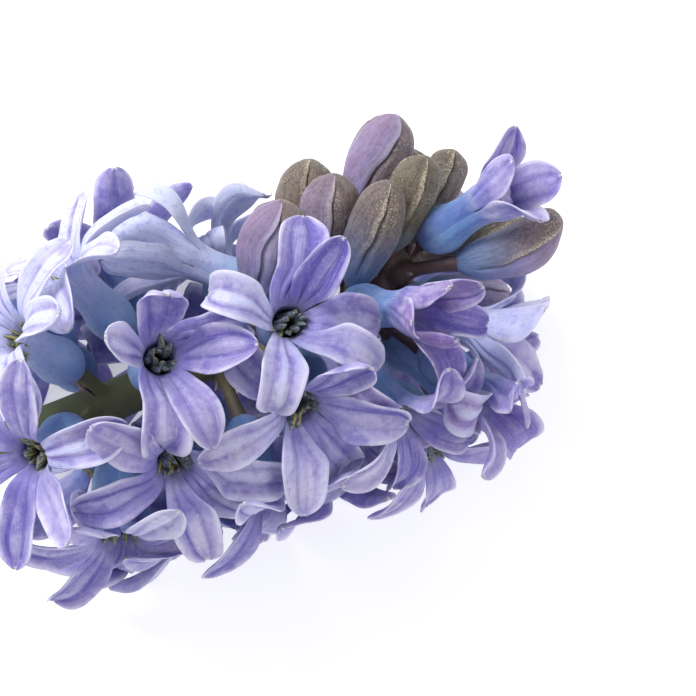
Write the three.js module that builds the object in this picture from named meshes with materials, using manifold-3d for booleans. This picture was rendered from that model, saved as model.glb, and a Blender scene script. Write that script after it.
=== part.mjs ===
// A cut hyacinth flower spike that lies on a table: one stem with its pedicels, open florets and closed buds.
// Millimetres. +X runs along the stem towards the buds, +Z is up, and the origin is under the middle of the spike.

import * as THREE from "three";
import Module from "manifold-3d";

const wasm = await Module();
wasm.setup();

// Where the spike lies. Stations along the stem are counted from the middle of the flowering part.
const HEAD = { x: 51.9, y: 1.0, z: 29 };
const FLOOR = { touch: 0.5, soft: 1.0, snapFace: 0.12, snapMargin: 0.85 };

// The stem is straight through the flowers, sags to the table at its cut end and turns aside under the top buds.
const STEM = {
  cutStation: -150, sagStation: -46, sagPower: 1.6, cutHeight: 4.3,
  turnStation: 4, turnLength: 16, turnAside: 8.5, topStation: 21,
  cutRadius: 4.7, headRadius: 3.9, topRadius: 1.9, sides: 10, rings: 16,
};
const PEDICEL = { rootRadius: 1.35, endRadius: 1.5, sides: 5, rings: 3, gap: 0.3, straight: 0.55, pull: 0.25 };

// An open floret: a swollen tube that parts into six tepals.
const TUBE = { length: 14, base: 1.7, swell: 4.2, waist: 3.4, mouth: 3.2, flared: 4.2, wall: 0.9 };
const TUBE_LEVELS = { swell: 0.3, waist: 0.68, flared: 1.16, floor: 0.34 };
const TEPAL = { length: 18.8, halfWidth: 4.6, thick: 0.95, flare: 18, spread: 64, recurve: 30, steps: 40 };
const TEPAL_STATIONS = [0, 8, 16, 26, 36, 40];
const STAMENS = { foot: 1.0, head: 1.8, rise: 0.03, headLevel: 0.9, tipLevel: 1.12, moat: 0.2 };

// How a tepal changes along its length, in shares of it; cup is its hollow as a share of its half width.
const TEPAL_FORM = {
  spreadEnd: 0.36, recurveStart: 0.35, turnEnd: 0.45, widest: 0.5, taperStart: 0.58, taperPower: 3,
  cupRoot: 0.27, cupTip: 0.16, cupEnd: 0.6, thinning: 0.35,
};

// The natural unevenness of tepals in degrees and shares, and how the inner three differ from the outer three.
const UNEVEN = { side: 5, spread: 7, recurve: 12, twist: 9, length: 0.05 };
const INNER = { closer: 8, width: 0.94, outerWidth: 1.04 };

// A bud: radius along its length as a share of its own width, from the pedicel to the blunt tip.
const BUD = { length: 21, radius: 4.5, sides: 9, lobes: 0.05, lobesFrom: 0.2, lobesFull: 0.6, tipLevel: 1.0 };
const BUD_PROFILE = [[0, 0.32], [0.14, 0.7], [0.36, 0.83], [0.66, 1.0], [0.87, 0.72], [0.955, 0.36]];

const OPEN_SPREAD = 40;
const COLOURS = { floret: 0x9a8fd0, opening: 0x8c8ccf, bud: 0x8d7f78, stem: 0x5b4a3c };
const radians = THREE.MathUtils.degToRad;
const smooth = (low, high, x) => THREE.MathUtils.smoothstep(x, low, high);

// Every open or opening floret. at: station of its pedicel on the stem. round: angle round the stem, 0 up and
// 90 towards +Y. reach: distance from the stem's axis to its base. lean and face: the way it looks, as the angle
// from the stem's direction and the angle round it. roll turns its tepals. sides, opens and curls bend its tepals
// one by one: sideways, away from the floret's axis, and back at the tip.
const FLORETS = [
  { at: -12, round: 3, reach: 11, lean: 78, face: 2, roll: -140,
    sides: [17, 33, 0, -1, -40, -20], opens: [-18, -8, 14, -46, 6, -26], curls: [80, 60, 20, -10, 20, 100] },
  { at: -14, round: -35, reach: 11, lean: 84, face: -29, roll: -130,
    sides: [18, -5, -38, -18, -22, 10], opens: [-10, -4, -6, -4, -16, 6], curls: [-10, 20, 20, 0, 10, -20] },
  { at: -36.5, round: 9, reach: 11, lean: 75, face: 8, roll: -145,
    sides: [36, 2, -24, -31, -18, -14], opens: [0, -10, -24, 6, -54, -60], curls: [70, 80, 10, 20, -60, 0] },
  { at: -36, round: -37, reach: 11, lean: 90, face: -31, roll: -110,
    sides: [16, -12, -50, 14, -8, -6], opens: [4, 24, 0, -14, 0, 0], curls: [0, -20, 10, 10, -10, 30] },
  { at: 0, base: [2.6, 0, 8.5], lean: 52, face: -23, roll: 20, spread: 18, recurve: 30, narrow: 0.86, size: 0.86,
    sides: [-8, 8, 0, 0, -16, 0], opens: [-30, -34, -14, -20, -16, -10], curls: [0, -20, 0, -20, 10, -8] },
  { at: -7.5, base: [-9.8, 7.6, -1.2], lean: 134, face: 84, roll: -14, sides: [-2, 10, 0, 4, 20, -2],
    opens: [-29, 6, -10, -24, -46, -52], curls: [-131, 36, 0, -10, -20, -10] },
  { at: -17.4, round: 142, reach: 10, lean: 88, face: 120, roll: 15, sides: [0, 0, -20, -30, 10, 0],
    opens: [0, 0, 0, 30, 4, 0], curls: [0, 0, 0, 70, 40, 40] },
  { at: -6, base: [-1, -9.2, 6], lean: 68, face: -59, roll: 0, size: 0.9, spread: 44, recurve: 64, narrow: 0.95,
    sides: [0, 0, 0, 0, 0, 0], opens: [-10, -10, 0, 0, 0, 0], curls: [40, 40, 0, 0, 10, 30] },
  { at: 7, base: [12.5, -1.8, -1], lean: 46, face: -76, roll: 68, size: 0.9, spread: 20, recurve: 80, narrow: 1.15,
    sides: [0, 10, 0, 0, -10, 0], opens: [-8, -10, 0, -10, -10, -14], curls: [-30, -20, 0, -20, -50, -30] },
  { at: 5, base: [12.5, -12.6, 3.4], lean: 60, face: -62, roll: 15, size: 0.82, spread: 20, recurve: 80, narrow: 1.1,
    sides: [-18, 10, -30, -10, -10, 0], opens: [-6, -20, -20, -10, -10, 0], curls: [-40, -20, 10, -20, 20, 0] },
  { at: -2, base: [4.2, -16.4, -3.5], lean: 78, face: -68, roll: 15, size: 0.9,
    sides: [0, 0, 0, 0, 0, 16], opens: [0, 0, 0, 0, 0, -10], curls: [0, 0, 0, 0, 0, 0] },
  { at: -13, round: -110, reach: 12, lean: 88, face: -100, roll: 0 },
  { at: -23, round: -78, reach: 12, lean: 90, face: -72, roll: 30 },
  { at: -34, round: -98, reach: 12, lean: 96, face: -88, roll: 10 },
  { at: -45, round: -66, reach: 11, lean: 106, face: -60, roll: 40 },
  { at: -47, round: -12, reach: 11, lean: 124, face: -8, roll: 0 },
  { at: -44, round: 42, reach: 11, lean: 118, face: 46, roll: 20 },
  { at: -34, round: 66, reach: 11, lean: 110, face: 72, roll: 0 },
  { at: 16, base: [20, 5.6, 3], lean: 36, face: 14, roll: -6, spread: 22, recurve: 32, narrow: 1.2, size: 0.75,
    sides: [-2, 13, -24, -14, 20, 24], opens: [-36, -34, -60, -40, -40, -50], curls: [0, -24, 10, 0, -10, -40] },
  { at: -46, round: 100, reach: 11, lean: 108, face: 108, roll: 20 },
  { at: -32, round: 122, reach: 11, lean: 96, face: 122, roll: 50 },
  { at: -46, round: 148, reach: 11, lean: 104, face: 146, roll: 0 },
  { at: -33, round: 168, reach: 11, lean: 92, face: 168, roll: 25 },
  { at: -46, round: -160, reach: 11, lean: 106, face: -158, roll: 35 },
  { at: -44, round: -112, reach: 11, lean: 104, face: -112, roll: 5 },
  { at: -28, round: -142, reach: 11, lean: 92, face: -142, roll: 15 },
  { at: -18, round: 178, reach: 11, lean: 88, face: 178, roll: 52 },
  { at: -10, round: -148, reach: 11, lean: 86, face: -150, roll: 5 },
  { at: -3, round: 142, reach: 10, lean: 70, face: 158, roll: 20, spread: 41, recurve: 24, size: 0.84 },
  { at: 4, round: -176, reach: 10, lean: 66, face: -176, roll: 50 },
  { at: 6, round: -128, reach: 10, lean: 68, face: -126, roll: 10 },
];

// Every closed bud, placed as the florets are. size scales its length, fat its width, and bow moves its tip aside.
const BUDS = [
  { at: 2, base: [4.8, 2.7, 8], lean: 52, face: 60, size: 1.0, fat: 0.98, bow: [0.5, 0.5, 0] },
  { at: 9, base: [14.1, 6.6, 3], lean: 54, face: 62, size: 0.9, fat: 0.97, bow: [0.8, -0.6, 0] },
  { at: -2, base: [0.5, 7.2, 3], lean: 64, face: 66, size: 0.9, fat: 1.08, bow: [0.8, 0, 0] },
  { at: -13, base: [-11.9, 5.2, 7], lean: 66, face: 60, size: 0.98, fat: 1.25, bow: [2.5, 0, 0] },
  { at: -4, base: [-3, 11.5, -3], lean: 60, face: 88, size: 0.88, fat: 1.08, bow: [0.5, 0, 0] },
  { at: 5, base: [9, 13.4, -2.5], lean: 47, face: 86, size: 1.02, fat: 1.18, bow: [0.6, 0, 0] },
  { at: 15, base: [19, 12.2, -7], lean: 62, face: 100, size: 0.57, fat: 0.8, bow: [0, 0, 0] },
  { at: 17, base: [21.8, 9, -4], lean: 46, face: 92, size: 0.68, fat: 0.78, bow: [0, 0, 0] },
  { at: 12, base: [24, -0.2, 5], lean: 17, face: -78, size: 1.02, fat: 1.08, bow: [0, 5.6, 0] },
  { at: 16, base: [23, 2.5, -6.5], lean: 8, face: 140, size: 0.76, fat: 0.82, bow: [0, 0, 0] },
  { at: 12, round: 162, reach: 9.5, lean: 44, face: 150, size: 0.95, fat: 1.0, bow: [0, 0, 0] },
  { at: 13, round: -142, reach: 9.5, lean: 44, face: -150, size: 0.95, fat: 1.0, bow: [0, 0, 0] },
];

// Ways in which a tepal that would cross a neighbour is bent clear: more or less curl, then to one side,
// then shorter.
const BENDS = [];
for (const short of [1, 0.85, 0.7, 0.55])
  for (const lift of [0, 14, -14, 28, -28, 44, -44, 62, -62, 82, -82])
    for (const side of [0, 9, -9, 18, -18, 28, -28]) BENDS.push({ lift, side, short });
const strain = (bend) => Math.abs(bend.lift) / 20 + Math.abs(bend.side) / 12 + (1 - bend.short) / 0.08;
BENDS.sort((one, other) => strain(one) - strain(other));
const CLEAR = 0.35;

/** A repeatable number from -1 to 1 for the natural unevenness of one tepal. */
function uneven(index, salt) {
  const wave = Math.sin(index * 12.9898 + salt * 78.233) * 43758.5453;
  return 2 * (wave - Math.floor(wave)) - 1;
}

/** The point of the stem's centreline at a station. */
function stemPoint(station) {
  const sagged = Math.max(0, (STEM.sagStation - station) / (STEM.sagStation - STEM.cutStation));
  const turned = Math.max(0, (station - STEM.turnStation) / STEM.turnLength);
  return new THREE.Vector3(
    HEAD.x + station,
    HEAD.y + STEM.turnAside * turned ** 2,
    HEAD.z - (HEAD.z - STEM.cutHeight) * sagged ** STEM.sagPower,
  );
}

function stemRadius(station) {
  const { mapLinear } = THREE.MathUtils;
  const lower = mapLinear(station, STEM.cutStation, STEM.sagStation, STEM.cutRadius, STEM.headRadius);
  const upper = mapLinear(station, STEM.sagStation, STEM.topStation, STEM.headRadius, STEM.topRadius);
  return station < STEM.sagStation ? lower : upper;
}

/** Unit vector at an angle from the stem's direction and an angle round the stem. */
function wayFrom(lean, round) {
  const out = Math.sin(radians(lean));
  return new THREE.Vector3(Math.cos(radians(lean)), out * Math.sin(radians(round)), out * Math.cos(radians(round)));
}

/** The base point, direction and two cross directions of a floret or bud. */
function seatOf(bloom) {
  const root = stemPoint(bloom.at);
  const base = bloom.base
    ? new THREE.Vector3(HEAD.x, HEAD.y, HEAD.z).add(new THREE.Vector3(...bloom.base))
    : root.clone().addScaledVector(wayFrom((90 + bloom.lean) / 2, bloom.round), bloom.reach);
  const along = wayFrom(bloom.lean, bloom.face ?? bloom.round);
  const across = new THREE.Vector3(1, 0, 0).addScaledVector(along, -along.x).normalize();
  const beside = new THREE.Vector3().crossVectors(along, across);
  return { root, base, along, across, beside };
}

/** A point given by distance along a seat's direction, radius from it and angle round it. */
function around(seat, height, radius, angle) {
  return seat.base.clone()
    .addScaledVector(seat.along, height)
    .addScaledVector(seat.across, radius * Math.cos(radians(angle)))
    .addScaledVector(seat.beside, radius * Math.sin(radians(angle)));
}

/** A closed surface under construction: points, and triangles that face out. */
class Shell {
  constructor() {
    this.points = [];
    this.faces = [];
  }
  add(point) {
    this.points.push(point);
    return this.points.length - 1;
  }
  ring(count, pointAt) {
    return Array.from({ length: count }, (_, i) => this.add(pointAt(i)));
  }
  triangle(a, b, c) {
    this.faces.push([a, b, c]);
  }
  quad(a, b, c, d) {
    this.triangle(a, b, c);
    this.triangle(a, c, d);
  }
  /** Joins two rings with the same number of points; upper is further along the axis. */
  band(lower, upper) {
    lower.forEach((_, i) => {
      const next = (i + 1) % lower.length;
      this.quad(lower[i], lower[next], upper[next], upper[i]);
    });
  }
  /** Joins a ring to a point beyond it. */
  cone(ring, tip) {
    ring.forEach((point, i) => this.triangle(point, ring[(i + 1) % ring.length], tip));
  }
  /** Closes the start of a ring that runs round an axis pointing away from the cap. */
  cap(ring) {
    for (let i = 1; i < ring.length - 1; i++) this.triangle(ring[0], ring[i + 1], ring[i]);
  }
  geometry() {
    const corners = this.faces.flatMap((face) => face.flatMap((i) => this.points[i].toArray()));
    return new THREE.BufferGeometry().setAttribute("position", new THREE.Float32BufferAttribute(corners, 3));
  }
  solid() {
    const vertProperties = new Float32Array(this.points.flatMap((point) => point.toArray()));
    const triVerts = new Uint32Array(this.faces.flat());
    return new wasm.Manifold(new wasm.Mesh({ numProp: 3, vertProperties, triVerts }));
  }
}

/** A closed round rod along a curve, with a radius for each share of its length. */
function rod(pointAt, radiusAt, sides, rings) {
  const shell = new Shell();
  const step = 1e-3;
  let across = new THREE.Vector3(0, 1, 0);
  let last = null;
  for (let r = 0; r < rings; r++) {
    const share = r / (rings - 1);
    const along = pointAt(Math.min(1, share + step)).sub(pointAt(Math.max(0, share - step))).normalize();
    if (Math.abs(along.dot(across)) > 0.95) across = new THREE.Vector3(0, 0, 1);
    across = across.clone().addScaledVector(along, -along.dot(across)).normalize();
    const beside = new THREE.Vector3().crossVectors(along, across);
    const centre = pointAt(share);
    const radius = radiusAt(share);
    const ring = shell.ring(sides, (i) => {
      const angle = (2 * Math.PI * i) / sides;
      return centre.clone()
        .addScaledVector(across, radius * Math.cos(angle))
        .addScaledVector(beside, radius * Math.sin(angle));
    });
    if (last) shell.band(last, ring);
    else shell.cap(ring);
    last = ring;
  }
  shell.cap([...last].reverse());
  return shell;
}

/** The stem, from its cut end to the tip. */
function stemShell() {
  const stationAt = (share) => THREE.MathUtils.lerp(STEM.cutStation, STEM.topStation, share);
  return rod((share) => stemPoint(stationAt(share)), (share) => stemRadius(stationAt(share)), STEM.sides, STEM.rings);
}

/** One pedicel: it leaves the stem inside, curves, and ends flat just under its floret or bud. */
function pedicelShell(bloom) {
  const { root, base, along } = seatOf(bloom);
  const end = base.clone().addScaledVector(along, -PEDICEL.gap);
  const bend = end.clone().addScaledVector(along, -PEDICEL.straight * base.distanceTo(root));
  const curve = new THREE.QuadraticBezierCurve3(root, bend.lerp(root, PEDICEL.pull), end);
  const radiusAt = (share) => THREE.MathUtils.lerp(PEDICEL.rootRadius, PEDICEL.endRadius, share);
  return rod((share) => curve.getPoint(share), radiusAt, PEDICEL.sides, PEDICEL.rings);
}

/** Keeps a height off the table, and bends what would go below it to lie along it. */
function aboveTable(height) {
  const start = FLOOR.touch + FLOOR.soft;
  return height > start ? height : FLOOR.touch + FLOOR.soft * Math.exp((height - start) / FLOOR.soft);
}

/** What shapes one tepal: the floret's own habit, natural unevenness and the bend that clears its neighbours. */
function tepalShape(floret, index, k, bend) {
  const inner = k % 2 === 1;
  const size = floret.size ?? 1;
  const side = floret.sides ? floret.sides[k] : UNEVEN.side * uneven(index, k + 1);
  const opens = floret.opens ? floret.opens[k] : UNEVEN.spread * uneven(index, k + 11) - (inner ? INNER.closer : 0);
  const curls = floret.curls ? floret.curls[k] : UNEVEN.recurve * uneven(index, k + 21);
  return {
    azimuth: floret.roll + 60 * k,
    side: side + bend.side,
    spread: (floret.spread ?? TEPAL.spread) + opens + bend.lift / 2,
    recurve: (floret.recurve ?? TEPAL.recurve) + curls + bend.lift,
    twist: UNEVEN.twist * uneven(index, k + 31),
    length: TEPAL.length * size * (1 + UNEVEN.length * uneven(index, k + 41)) * bend.short,
    halfWidth: TEPAL.halfWidth * size * (floret.narrow ?? 1) * (inner ? INNER.width : INNER.outerWidth),
  };
}

/** The tepal's centreline, as radius and height for each step, and its slope from the floret's axis. */
function tepalLine(shape) {
  const line = [{ radius: TUBE.mouth, height: TUBE.length, slope: radians(TEPAL.flare) }];
  const slopeAt = (s) => {
    const opened = shape.spread * smooth(0, TEPAL_FORM.spreadEnd, s);
    const curled = shape.recurve * smooth(TEPAL_FORM.recurveStart, 1, s);
    return radians(TEPAL.flare + opened + curled);
  };
  const step = shape.length / TEPAL.steps;
  for (let i = 1; i <= TEPAL.steps; i++) {
    const middle = slopeAt((i - 0.5) / TEPAL.steps);
    const last = line[i - 1];
    line.push({
      radius: last.radius + Math.sin(middle) * step,
      height: last.height + Math.cos(middle) * step,
      slope: slopeAt(i / TEPAL.steps),
    });
  }
  return line;
}

/** Half the width of a tepal at share s of its length, from the tube's mouth to the tip. */
function tepalHalfWidth(shape, s) {
  const root = TUBE.mouth * Math.sin(Math.PI / 6);
  const tapered = Math.max(0, (s - TEPAL_FORM.taperStart) / (1 - TEPAL_FORM.taperStart));
  const belly = shape.halfWidth * (1 - tapered ** TEPAL_FORM.taperPower);
  return THREE.MathUtils.lerp(root, belly, smooth(0, TEPAL_FORM.widest, s));
}

/** Points of a tepal's middle surface: for each station the left margin, the middle and the right margin. */
function tepalRows(seat, shape) {
  const line = tepalLine(shape);
  return TEPAL_STATIONS.map((i) => {
    const s = i / TEPAL.steps;
    const angle = shape.azimuth + shape.side * smooth(0, TEPAL_FORM.turnEnd, s);
    const { radius, height, slope } = line[i];
    const out = around(seat, 0, 1, angle).sub(seat.base);
    const sideways = new THREE.Vector3().crossVectors(seat.along, out);
    const inwards = out.clone().multiplyScalar(-Math.cos(slope)).addScaledVector(seat.along, Math.sin(slope));
    const twist = radians(shape.twist * s);
    const width = sideways.clone().multiplyScalar(Math.cos(twist)).addScaledVector(inwards, Math.sin(twist));
    const half = tepalHalfWidth(shape, s);
    const cup = THREE.MathUtils.lerp(TEPAL_FORM.cupRoot, TEPAL_FORM.cupTip, smooth(0, TEPAL_FORM.cupEnd, s));
    const place = (t) => {
      const point = around(seat, height, radius, angle)
        .addScaledVector(width, half * t)
        .addScaledVector(inwards, cup * half * t * t);
      point.z = aboveTable(point.z);
      return point;
    };
    return i === TEPAL.steps ? [place(0)] : [place(-1), place(0), place(1)];
  });
}

/** The two faces of a tepal's middle line, half a thickness to each side of it. */
function tepalFaces(rows, seat) {
  const middle = (row) => row[row.length >> 1];
  return rows.slice(0, -1).map((row, i) => {
    const forward = middle(rows[i + 1]).clone().sub(middle(rows[Math.max(0, i - 1)]));
    const normal = row[2].clone().sub(row[0]).cross(forward).normalize();
    const half = (TEPAL.thick / 2) * (1 - TEPAL_FORM.thinning * (i / rows.length));
    const outer = middle(row).clone().addScaledVector(normal, half);
    const inner = middle(row).clone().addScaledVector(normal, -half);
    return { left: row[0], right: row[2], outer, inner };
  });
}

/** Lets what lies on the table touch it exactly, so that the spike rests on flat spots. */
function settle(point, snap) {
  if (point.z < snap) point.z = 0;
  return point;
}

/** Adds a tepal to a shell, from its row at the tube's mouth, which the shell already has. */
function addTepal(shell, mouth, faces, tip) {
  let last = mouth;
  for (const face of faces.slice(1)) {
    const row = {
      left: shell.add(settle(face.left.clone(), FLOOR.snapMargin)),
      right: shell.add(settle(face.right.clone(), FLOOR.snapMargin)),
      outer: shell.add(settle(face.outer.clone(), FLOOR.snapFace)),
      inner: shell.add(settle(face.inner.clone(), FLOOR.snapFace)),
    };
    shell.quad(last.left, last.outer, row.outer, row.left);
    shell.quad(last.left, row.left, row.inner, last.inner);
    shell.quad(last.right, row.right, row.outer, last.outer);
    shell.quad(last.right, last.inner, row.inner, row.right);
    last = row;
  }
  const end = shell.add(settle(tip.clone(), FLOOR.snapMargin));
  shell.triangle(last.left, last.outer, end);
  shell.triangle(last.outer, last.right, end);
  shell.triangle(last.inner, last.left, end);
  shell.triangle(last.right, last.inner, end);
}

/** One tepal by itself, closed at its root and grown by an allowance, for the test of what it would cross. */
function tepalShell(seat, shape, grown) {
  const rows = tepalRows(seat, { ...shape, halfWidth: shape.halfWidth + grown, length: shape.length + grown });
  const faces = tepalFaces(rows, seat);
  for (const face of faces) {
    const normal = face.outer.clone().sub(face.inner).normalize();
    face.outer.addScaledVector(normal, grown);
    face.inner.addScaledVector(normal, -grown);
  }
  const shell = new Shell();
  const root = {
    left: shell.add(faces[1].left.clone()),
    right: shell.add(faces[1].right.clone()),
    outer: shell.add(faces[1].outer.clone()),
    inner: shell.add(faces[1].inner.clone()),
  };
  shell.quad(root.left, root.inner, root.right, root.outer);
  addTepal(shell, root, faces.slice(1), rows.at(-1)[0]);
  return shell;
}

/** The tube of a floret with its mouth rows, its stamens inside, and the six tepals if their shapes are given. */
function floretShell(floret, shapes) {
  const seat = seatOf(floret);
  const shell = new Shell();
  const point = (level, radius, angle) => shell.add(around(seat, TUBE.length * level, radius, floret.roll + angle));
  const twelve = (level, radius) => Array.from({ length: 12 }, (_, m) => point(level, radius, 30 * m - 30));
  const six = (level, radius) => Array.from({ length: 6 }, (_, k) => point(level, radius, 60 * k - 30));
  const foot = six(0, TUBE.base);
  const swell = twelve(TUBE_LEVELS.swell, TUBE.swell);
  const waist = twelve(TUBE_LEVELS.waist, TUBE.waist);
  const mouths = Array.from({ length: 6 }, (_, k) => ({
    left: point(1, TUBE.mouth, 60 * k - 30),
    outer: point(1, TUBE.mouth + TUBE.wall / 2, 60 * k),
    inner: point(1, TUBE.mouth - TUBE.wall / 2, 60 * k),
  }));
  mouths.forEach((mouth, k) => (mouth.right = mouths[(k + 1) % 6].left));
  shell.cap(foot);
  joinSixToTwelve(shell, foot, swell, false);
  shell.band(swell, waist);
  shell.band(waist, mouths.flatMap((mouth) => [mouth.left, mouth.outer]));
  const floor = six(TUBE_LEVELS.floor, TUBE.waist - TUBE.wall - STAMENS.moat);
  joinSixToTwelve(shell, floor, mouths.flatMap((mouth) => [mouth.left, mouth.inner]), true);
  const stamenFoot = six(TUBE_LEVELS.floor + STAMENS.rise, STAMENS.foot);
  const stamenHead = six(STAMENS.headLevel, STAMENS.head);
  shell.band(floor, stamenFoot);
  shell.band(stamenFoot, stamenHead);
  shell.cone(stamenHead, point(STAMENS.tipLevel, 0, 0));
  shapes.forEach((shape, k) => {
    const rows = tepalRows(seat, shape);
    addTepal(shell, mouths[k], tepalFaces(rows, seat), rows.at(-1)[0]);
  });
  return shell;
}

/** Joins a ring of six points to a ring of twelve above it; the inside of a tube is turned over. */
function joinSixToTwelve(shell, six, twelve, inside) {
  const facet = (a, b, c) => (inside ? shell.triangle(a, c, b) : shell.triangle(a, b, c));
  six.forEach((point, k) => {
    const next = six[(k + 1) % 6];
    const [left, middle, right] = [twelve[2 * k], twelve[2 * k + 1], twelve[(2 * k + 2) % 12]];
    facet(point, next, middle);
    facet(point, middle, left);
    facet(next, right, middle);
  });
}

/** A floret's tube closed over at the mouth, for the test of what tepals would cross. */
function tubeShell(floret) {
  const seat = seatOf(floret);
  const shell = new Shell();
  const ring = (level, radius) => shell.ring(12, (m) => around(seat, TUBE.length * level, radius, 30 * m));
  const rings = [
    ring(0, TUBE.base),
    ring(TUBE_LEVELS.swell, TUBE.swell + CLEAR),
    ring(TUBE_LEVELS.waist, TUBE.waist + CLEAR),
    ring(1, TUBE.mouth + CLEAR),
    ring(TUBE_LEVELS.flared, TUBE.flared),
  ];
  shell.cap(rings[0]);
  for (let i = 1; i < rings.length; i++) shell.band(rings[i - 1], rings[i]);
  shell.cap([...rings.at(-1)].reverse());
  return shell;
}

/** A closed bud with three soft lobes, bowed along its length. */
function budShell(bud) {
  const seat = seatOf(bud);
  const shell = new Shell();
  const length = BUD.length * bud.size;
  const place = (level, radius, angle) => {
    const bow = new THREE.Vector3(...bud.bow).multiplyScalar(level * level);
    const point = around(seat, length * level, radius, angle).add(bow);
    point.z = aboveTable(point.z);
    return point;
  };
  const rings = BUD_PROFILE.map(([level, share]) =>
    shell.ring(BUD.sides, (i) => {
      const angle = (360 * i) / BUD.sides;
      const lobe = 1 + BUD.lobes * Math.cos(radians(3 * angle)) * smooth(BUD.lobesFrom, BUD.lobesFull, level);
      return place(level, BUD.radius * bud.fat * share * lobe, angle);
    }),
  );
  shell.cap(rings[0]);
  for (let i = 1; i < rings.length; i++) shell.band(rings[i - 1], rings[i]);
  shell.cone(rings.at(-1), shell.add(place(BUD.tipLevel, 0, 0)));
  return shell;
}

/** A solid with its box, so that far pairs need no boolean. */
function obstacle(solid, owner) {
  const { min, max } = solid.boundingBox();
  return { solid, owner, box: new THREE.Box3(new THREE.Vector3(...min), new THREE.Vector3(...max)) };
}

/** How much of a solid lies in the obstacles, but for the tube it grows from, in cubic millimetres. */
function crossing(solid, tube, obstacles) {
  const here = obstacle(solid, tube);
  return obstacles
    .filter((other) => other.owner !== tube && other.box.intersectsBox(here.box))
    .reduce((sum, other) => sum + solid.intersect(other.solid).volume(), 0);
}

/** Chooses the bend of each tepal in turn, so that it crosses nothing placed before it. */
function bentClear(obstacles) {
  return FLORETS.map((floret, index) => {
    const seat = seatOf(floret);
    return Array.from({ length: 6 }, (_, k) => {
      let best = null;
      for (const bend of BENDS) {
        const shape = tepalShape(floret, index, k, bend);
        const solid = tepalShell(seat, shape, CLEAR).solid();
        const crossed = crossing(solid, "tube" + index, obstacles);
        if (!best || crossed < best.crossed) best = { bend, shape, crossed };
        if (crossed === 0) break;
      }
      obstacles.push(obstacle(tepalShell(seat, best.shape, 0).solid(), "tepal"));
      return best.shape;
    });
  });
}

const spike = new THREE.Group();

function addNode(name, geometry, colour, roughness) {
  geometry.computeVertexNormals();
  const material = new THREE.MeshStandardMaterial({ color: colour, roughness, metalness: 0 });
  const mesh = new THREE.Mesh(geometry, material);
  mesh.name = name;
  spike.add(mesh);
}

/** A manifold-3d solid as a three.js geometry. */
function geometryOf(solid) {
  const { vertProperties, numProp, triVerts } = solid.getMesh();
  const corners = Array.from(triVerts, (i) => [...vertProperties.subarray(i * numProp, i * numProp + 3)]).flat();
  return new THREE.BufferGeometry().setAttribute("position", new THREE.Float32BufferAttribute(corners, 3));
}

const number = (i) => String(i + 1).padStart(2, "0");
const pedicels = [...FLORETS, ...BUDS].map((bloom) => pedicelShell(bloom).solid());
const stem = pedicels.reduce((joined, pedicel) => joined.add(pedicel), stemShell().solid());
const budShells = BUDS.map(budShell);
const obstacles = [obstacle(stem, "stem")];
FLORETS.forEach((floret, index) => obstacles.push(obstacle(tubeShell(floret).solid(), "tube" + index)));
budShells.forEach((shell, index) => obstacles.push(obstacle(shell.solid(), "bud" + index)));

addNode("stem", geometryOf(stem), COLOURS.stem, 0.55);
bentClear(obstacles).forEach((shapes, index) => {
  const opening = (FLORETS[index].spread ?? TEPAL.spread) < OPEN_SPREAD;
  const colour = opening ? COLOURS.opening : COLOURS.floret;
  addNode("floret_" + number(index), floretShell(FLORETS[index], shapes).geometry(), colour, 0.45);
});
budShells.forEach((shell, index) => addNode("bud_" + number(index), shell.geometry(), COLOURS.bud, 0.5));

export default spike;
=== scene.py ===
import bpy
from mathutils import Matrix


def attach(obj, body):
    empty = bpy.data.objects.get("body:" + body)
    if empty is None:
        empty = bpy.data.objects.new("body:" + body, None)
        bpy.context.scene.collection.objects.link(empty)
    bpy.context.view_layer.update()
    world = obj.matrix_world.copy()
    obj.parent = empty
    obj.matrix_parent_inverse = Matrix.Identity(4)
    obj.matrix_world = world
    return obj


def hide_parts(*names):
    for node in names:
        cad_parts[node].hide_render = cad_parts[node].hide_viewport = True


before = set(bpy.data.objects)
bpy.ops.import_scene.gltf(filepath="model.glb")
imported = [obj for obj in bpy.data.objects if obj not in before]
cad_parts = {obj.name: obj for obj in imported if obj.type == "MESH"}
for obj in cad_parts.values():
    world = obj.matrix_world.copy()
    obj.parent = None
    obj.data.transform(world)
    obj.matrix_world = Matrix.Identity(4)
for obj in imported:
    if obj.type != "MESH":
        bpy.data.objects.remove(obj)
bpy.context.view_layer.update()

import math
from types import SimpleNamespace as Sizes

import bpy
import numpy as np
from mathutils import Matrix, Vector

# A cut hyacinth flower spike on a pale floor. Lengths are in millimetres until a mesh is made of them, and
# angles are in degrees.
MM = 0.001

# Where the spike lies, how its stem and pedicels run and how low petals lie along the table, as in the
# solids. A station is a distance along the stem from HEAD.
HEAD = np.array([51.9, 1.0, 29.0])
STEM = Sizes(cut=-150, sag=-46, sag_power=1.6, cut_height=4.3, turn=4, turn_length=16, turn_aside=8.5, top=21,
             cut_radius=4.7, head_radius=3.9, top_radius=1.9)
TABLE = Sizes(touch=0.5, soft=1.0, snap=0.85)
PEDICEL = Sizes(gap=0.3, straight=0.55, pull=0.25, into=0.5, points=14, sides=12, radius=1.32, root=1.1,
                end=0.35)

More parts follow.
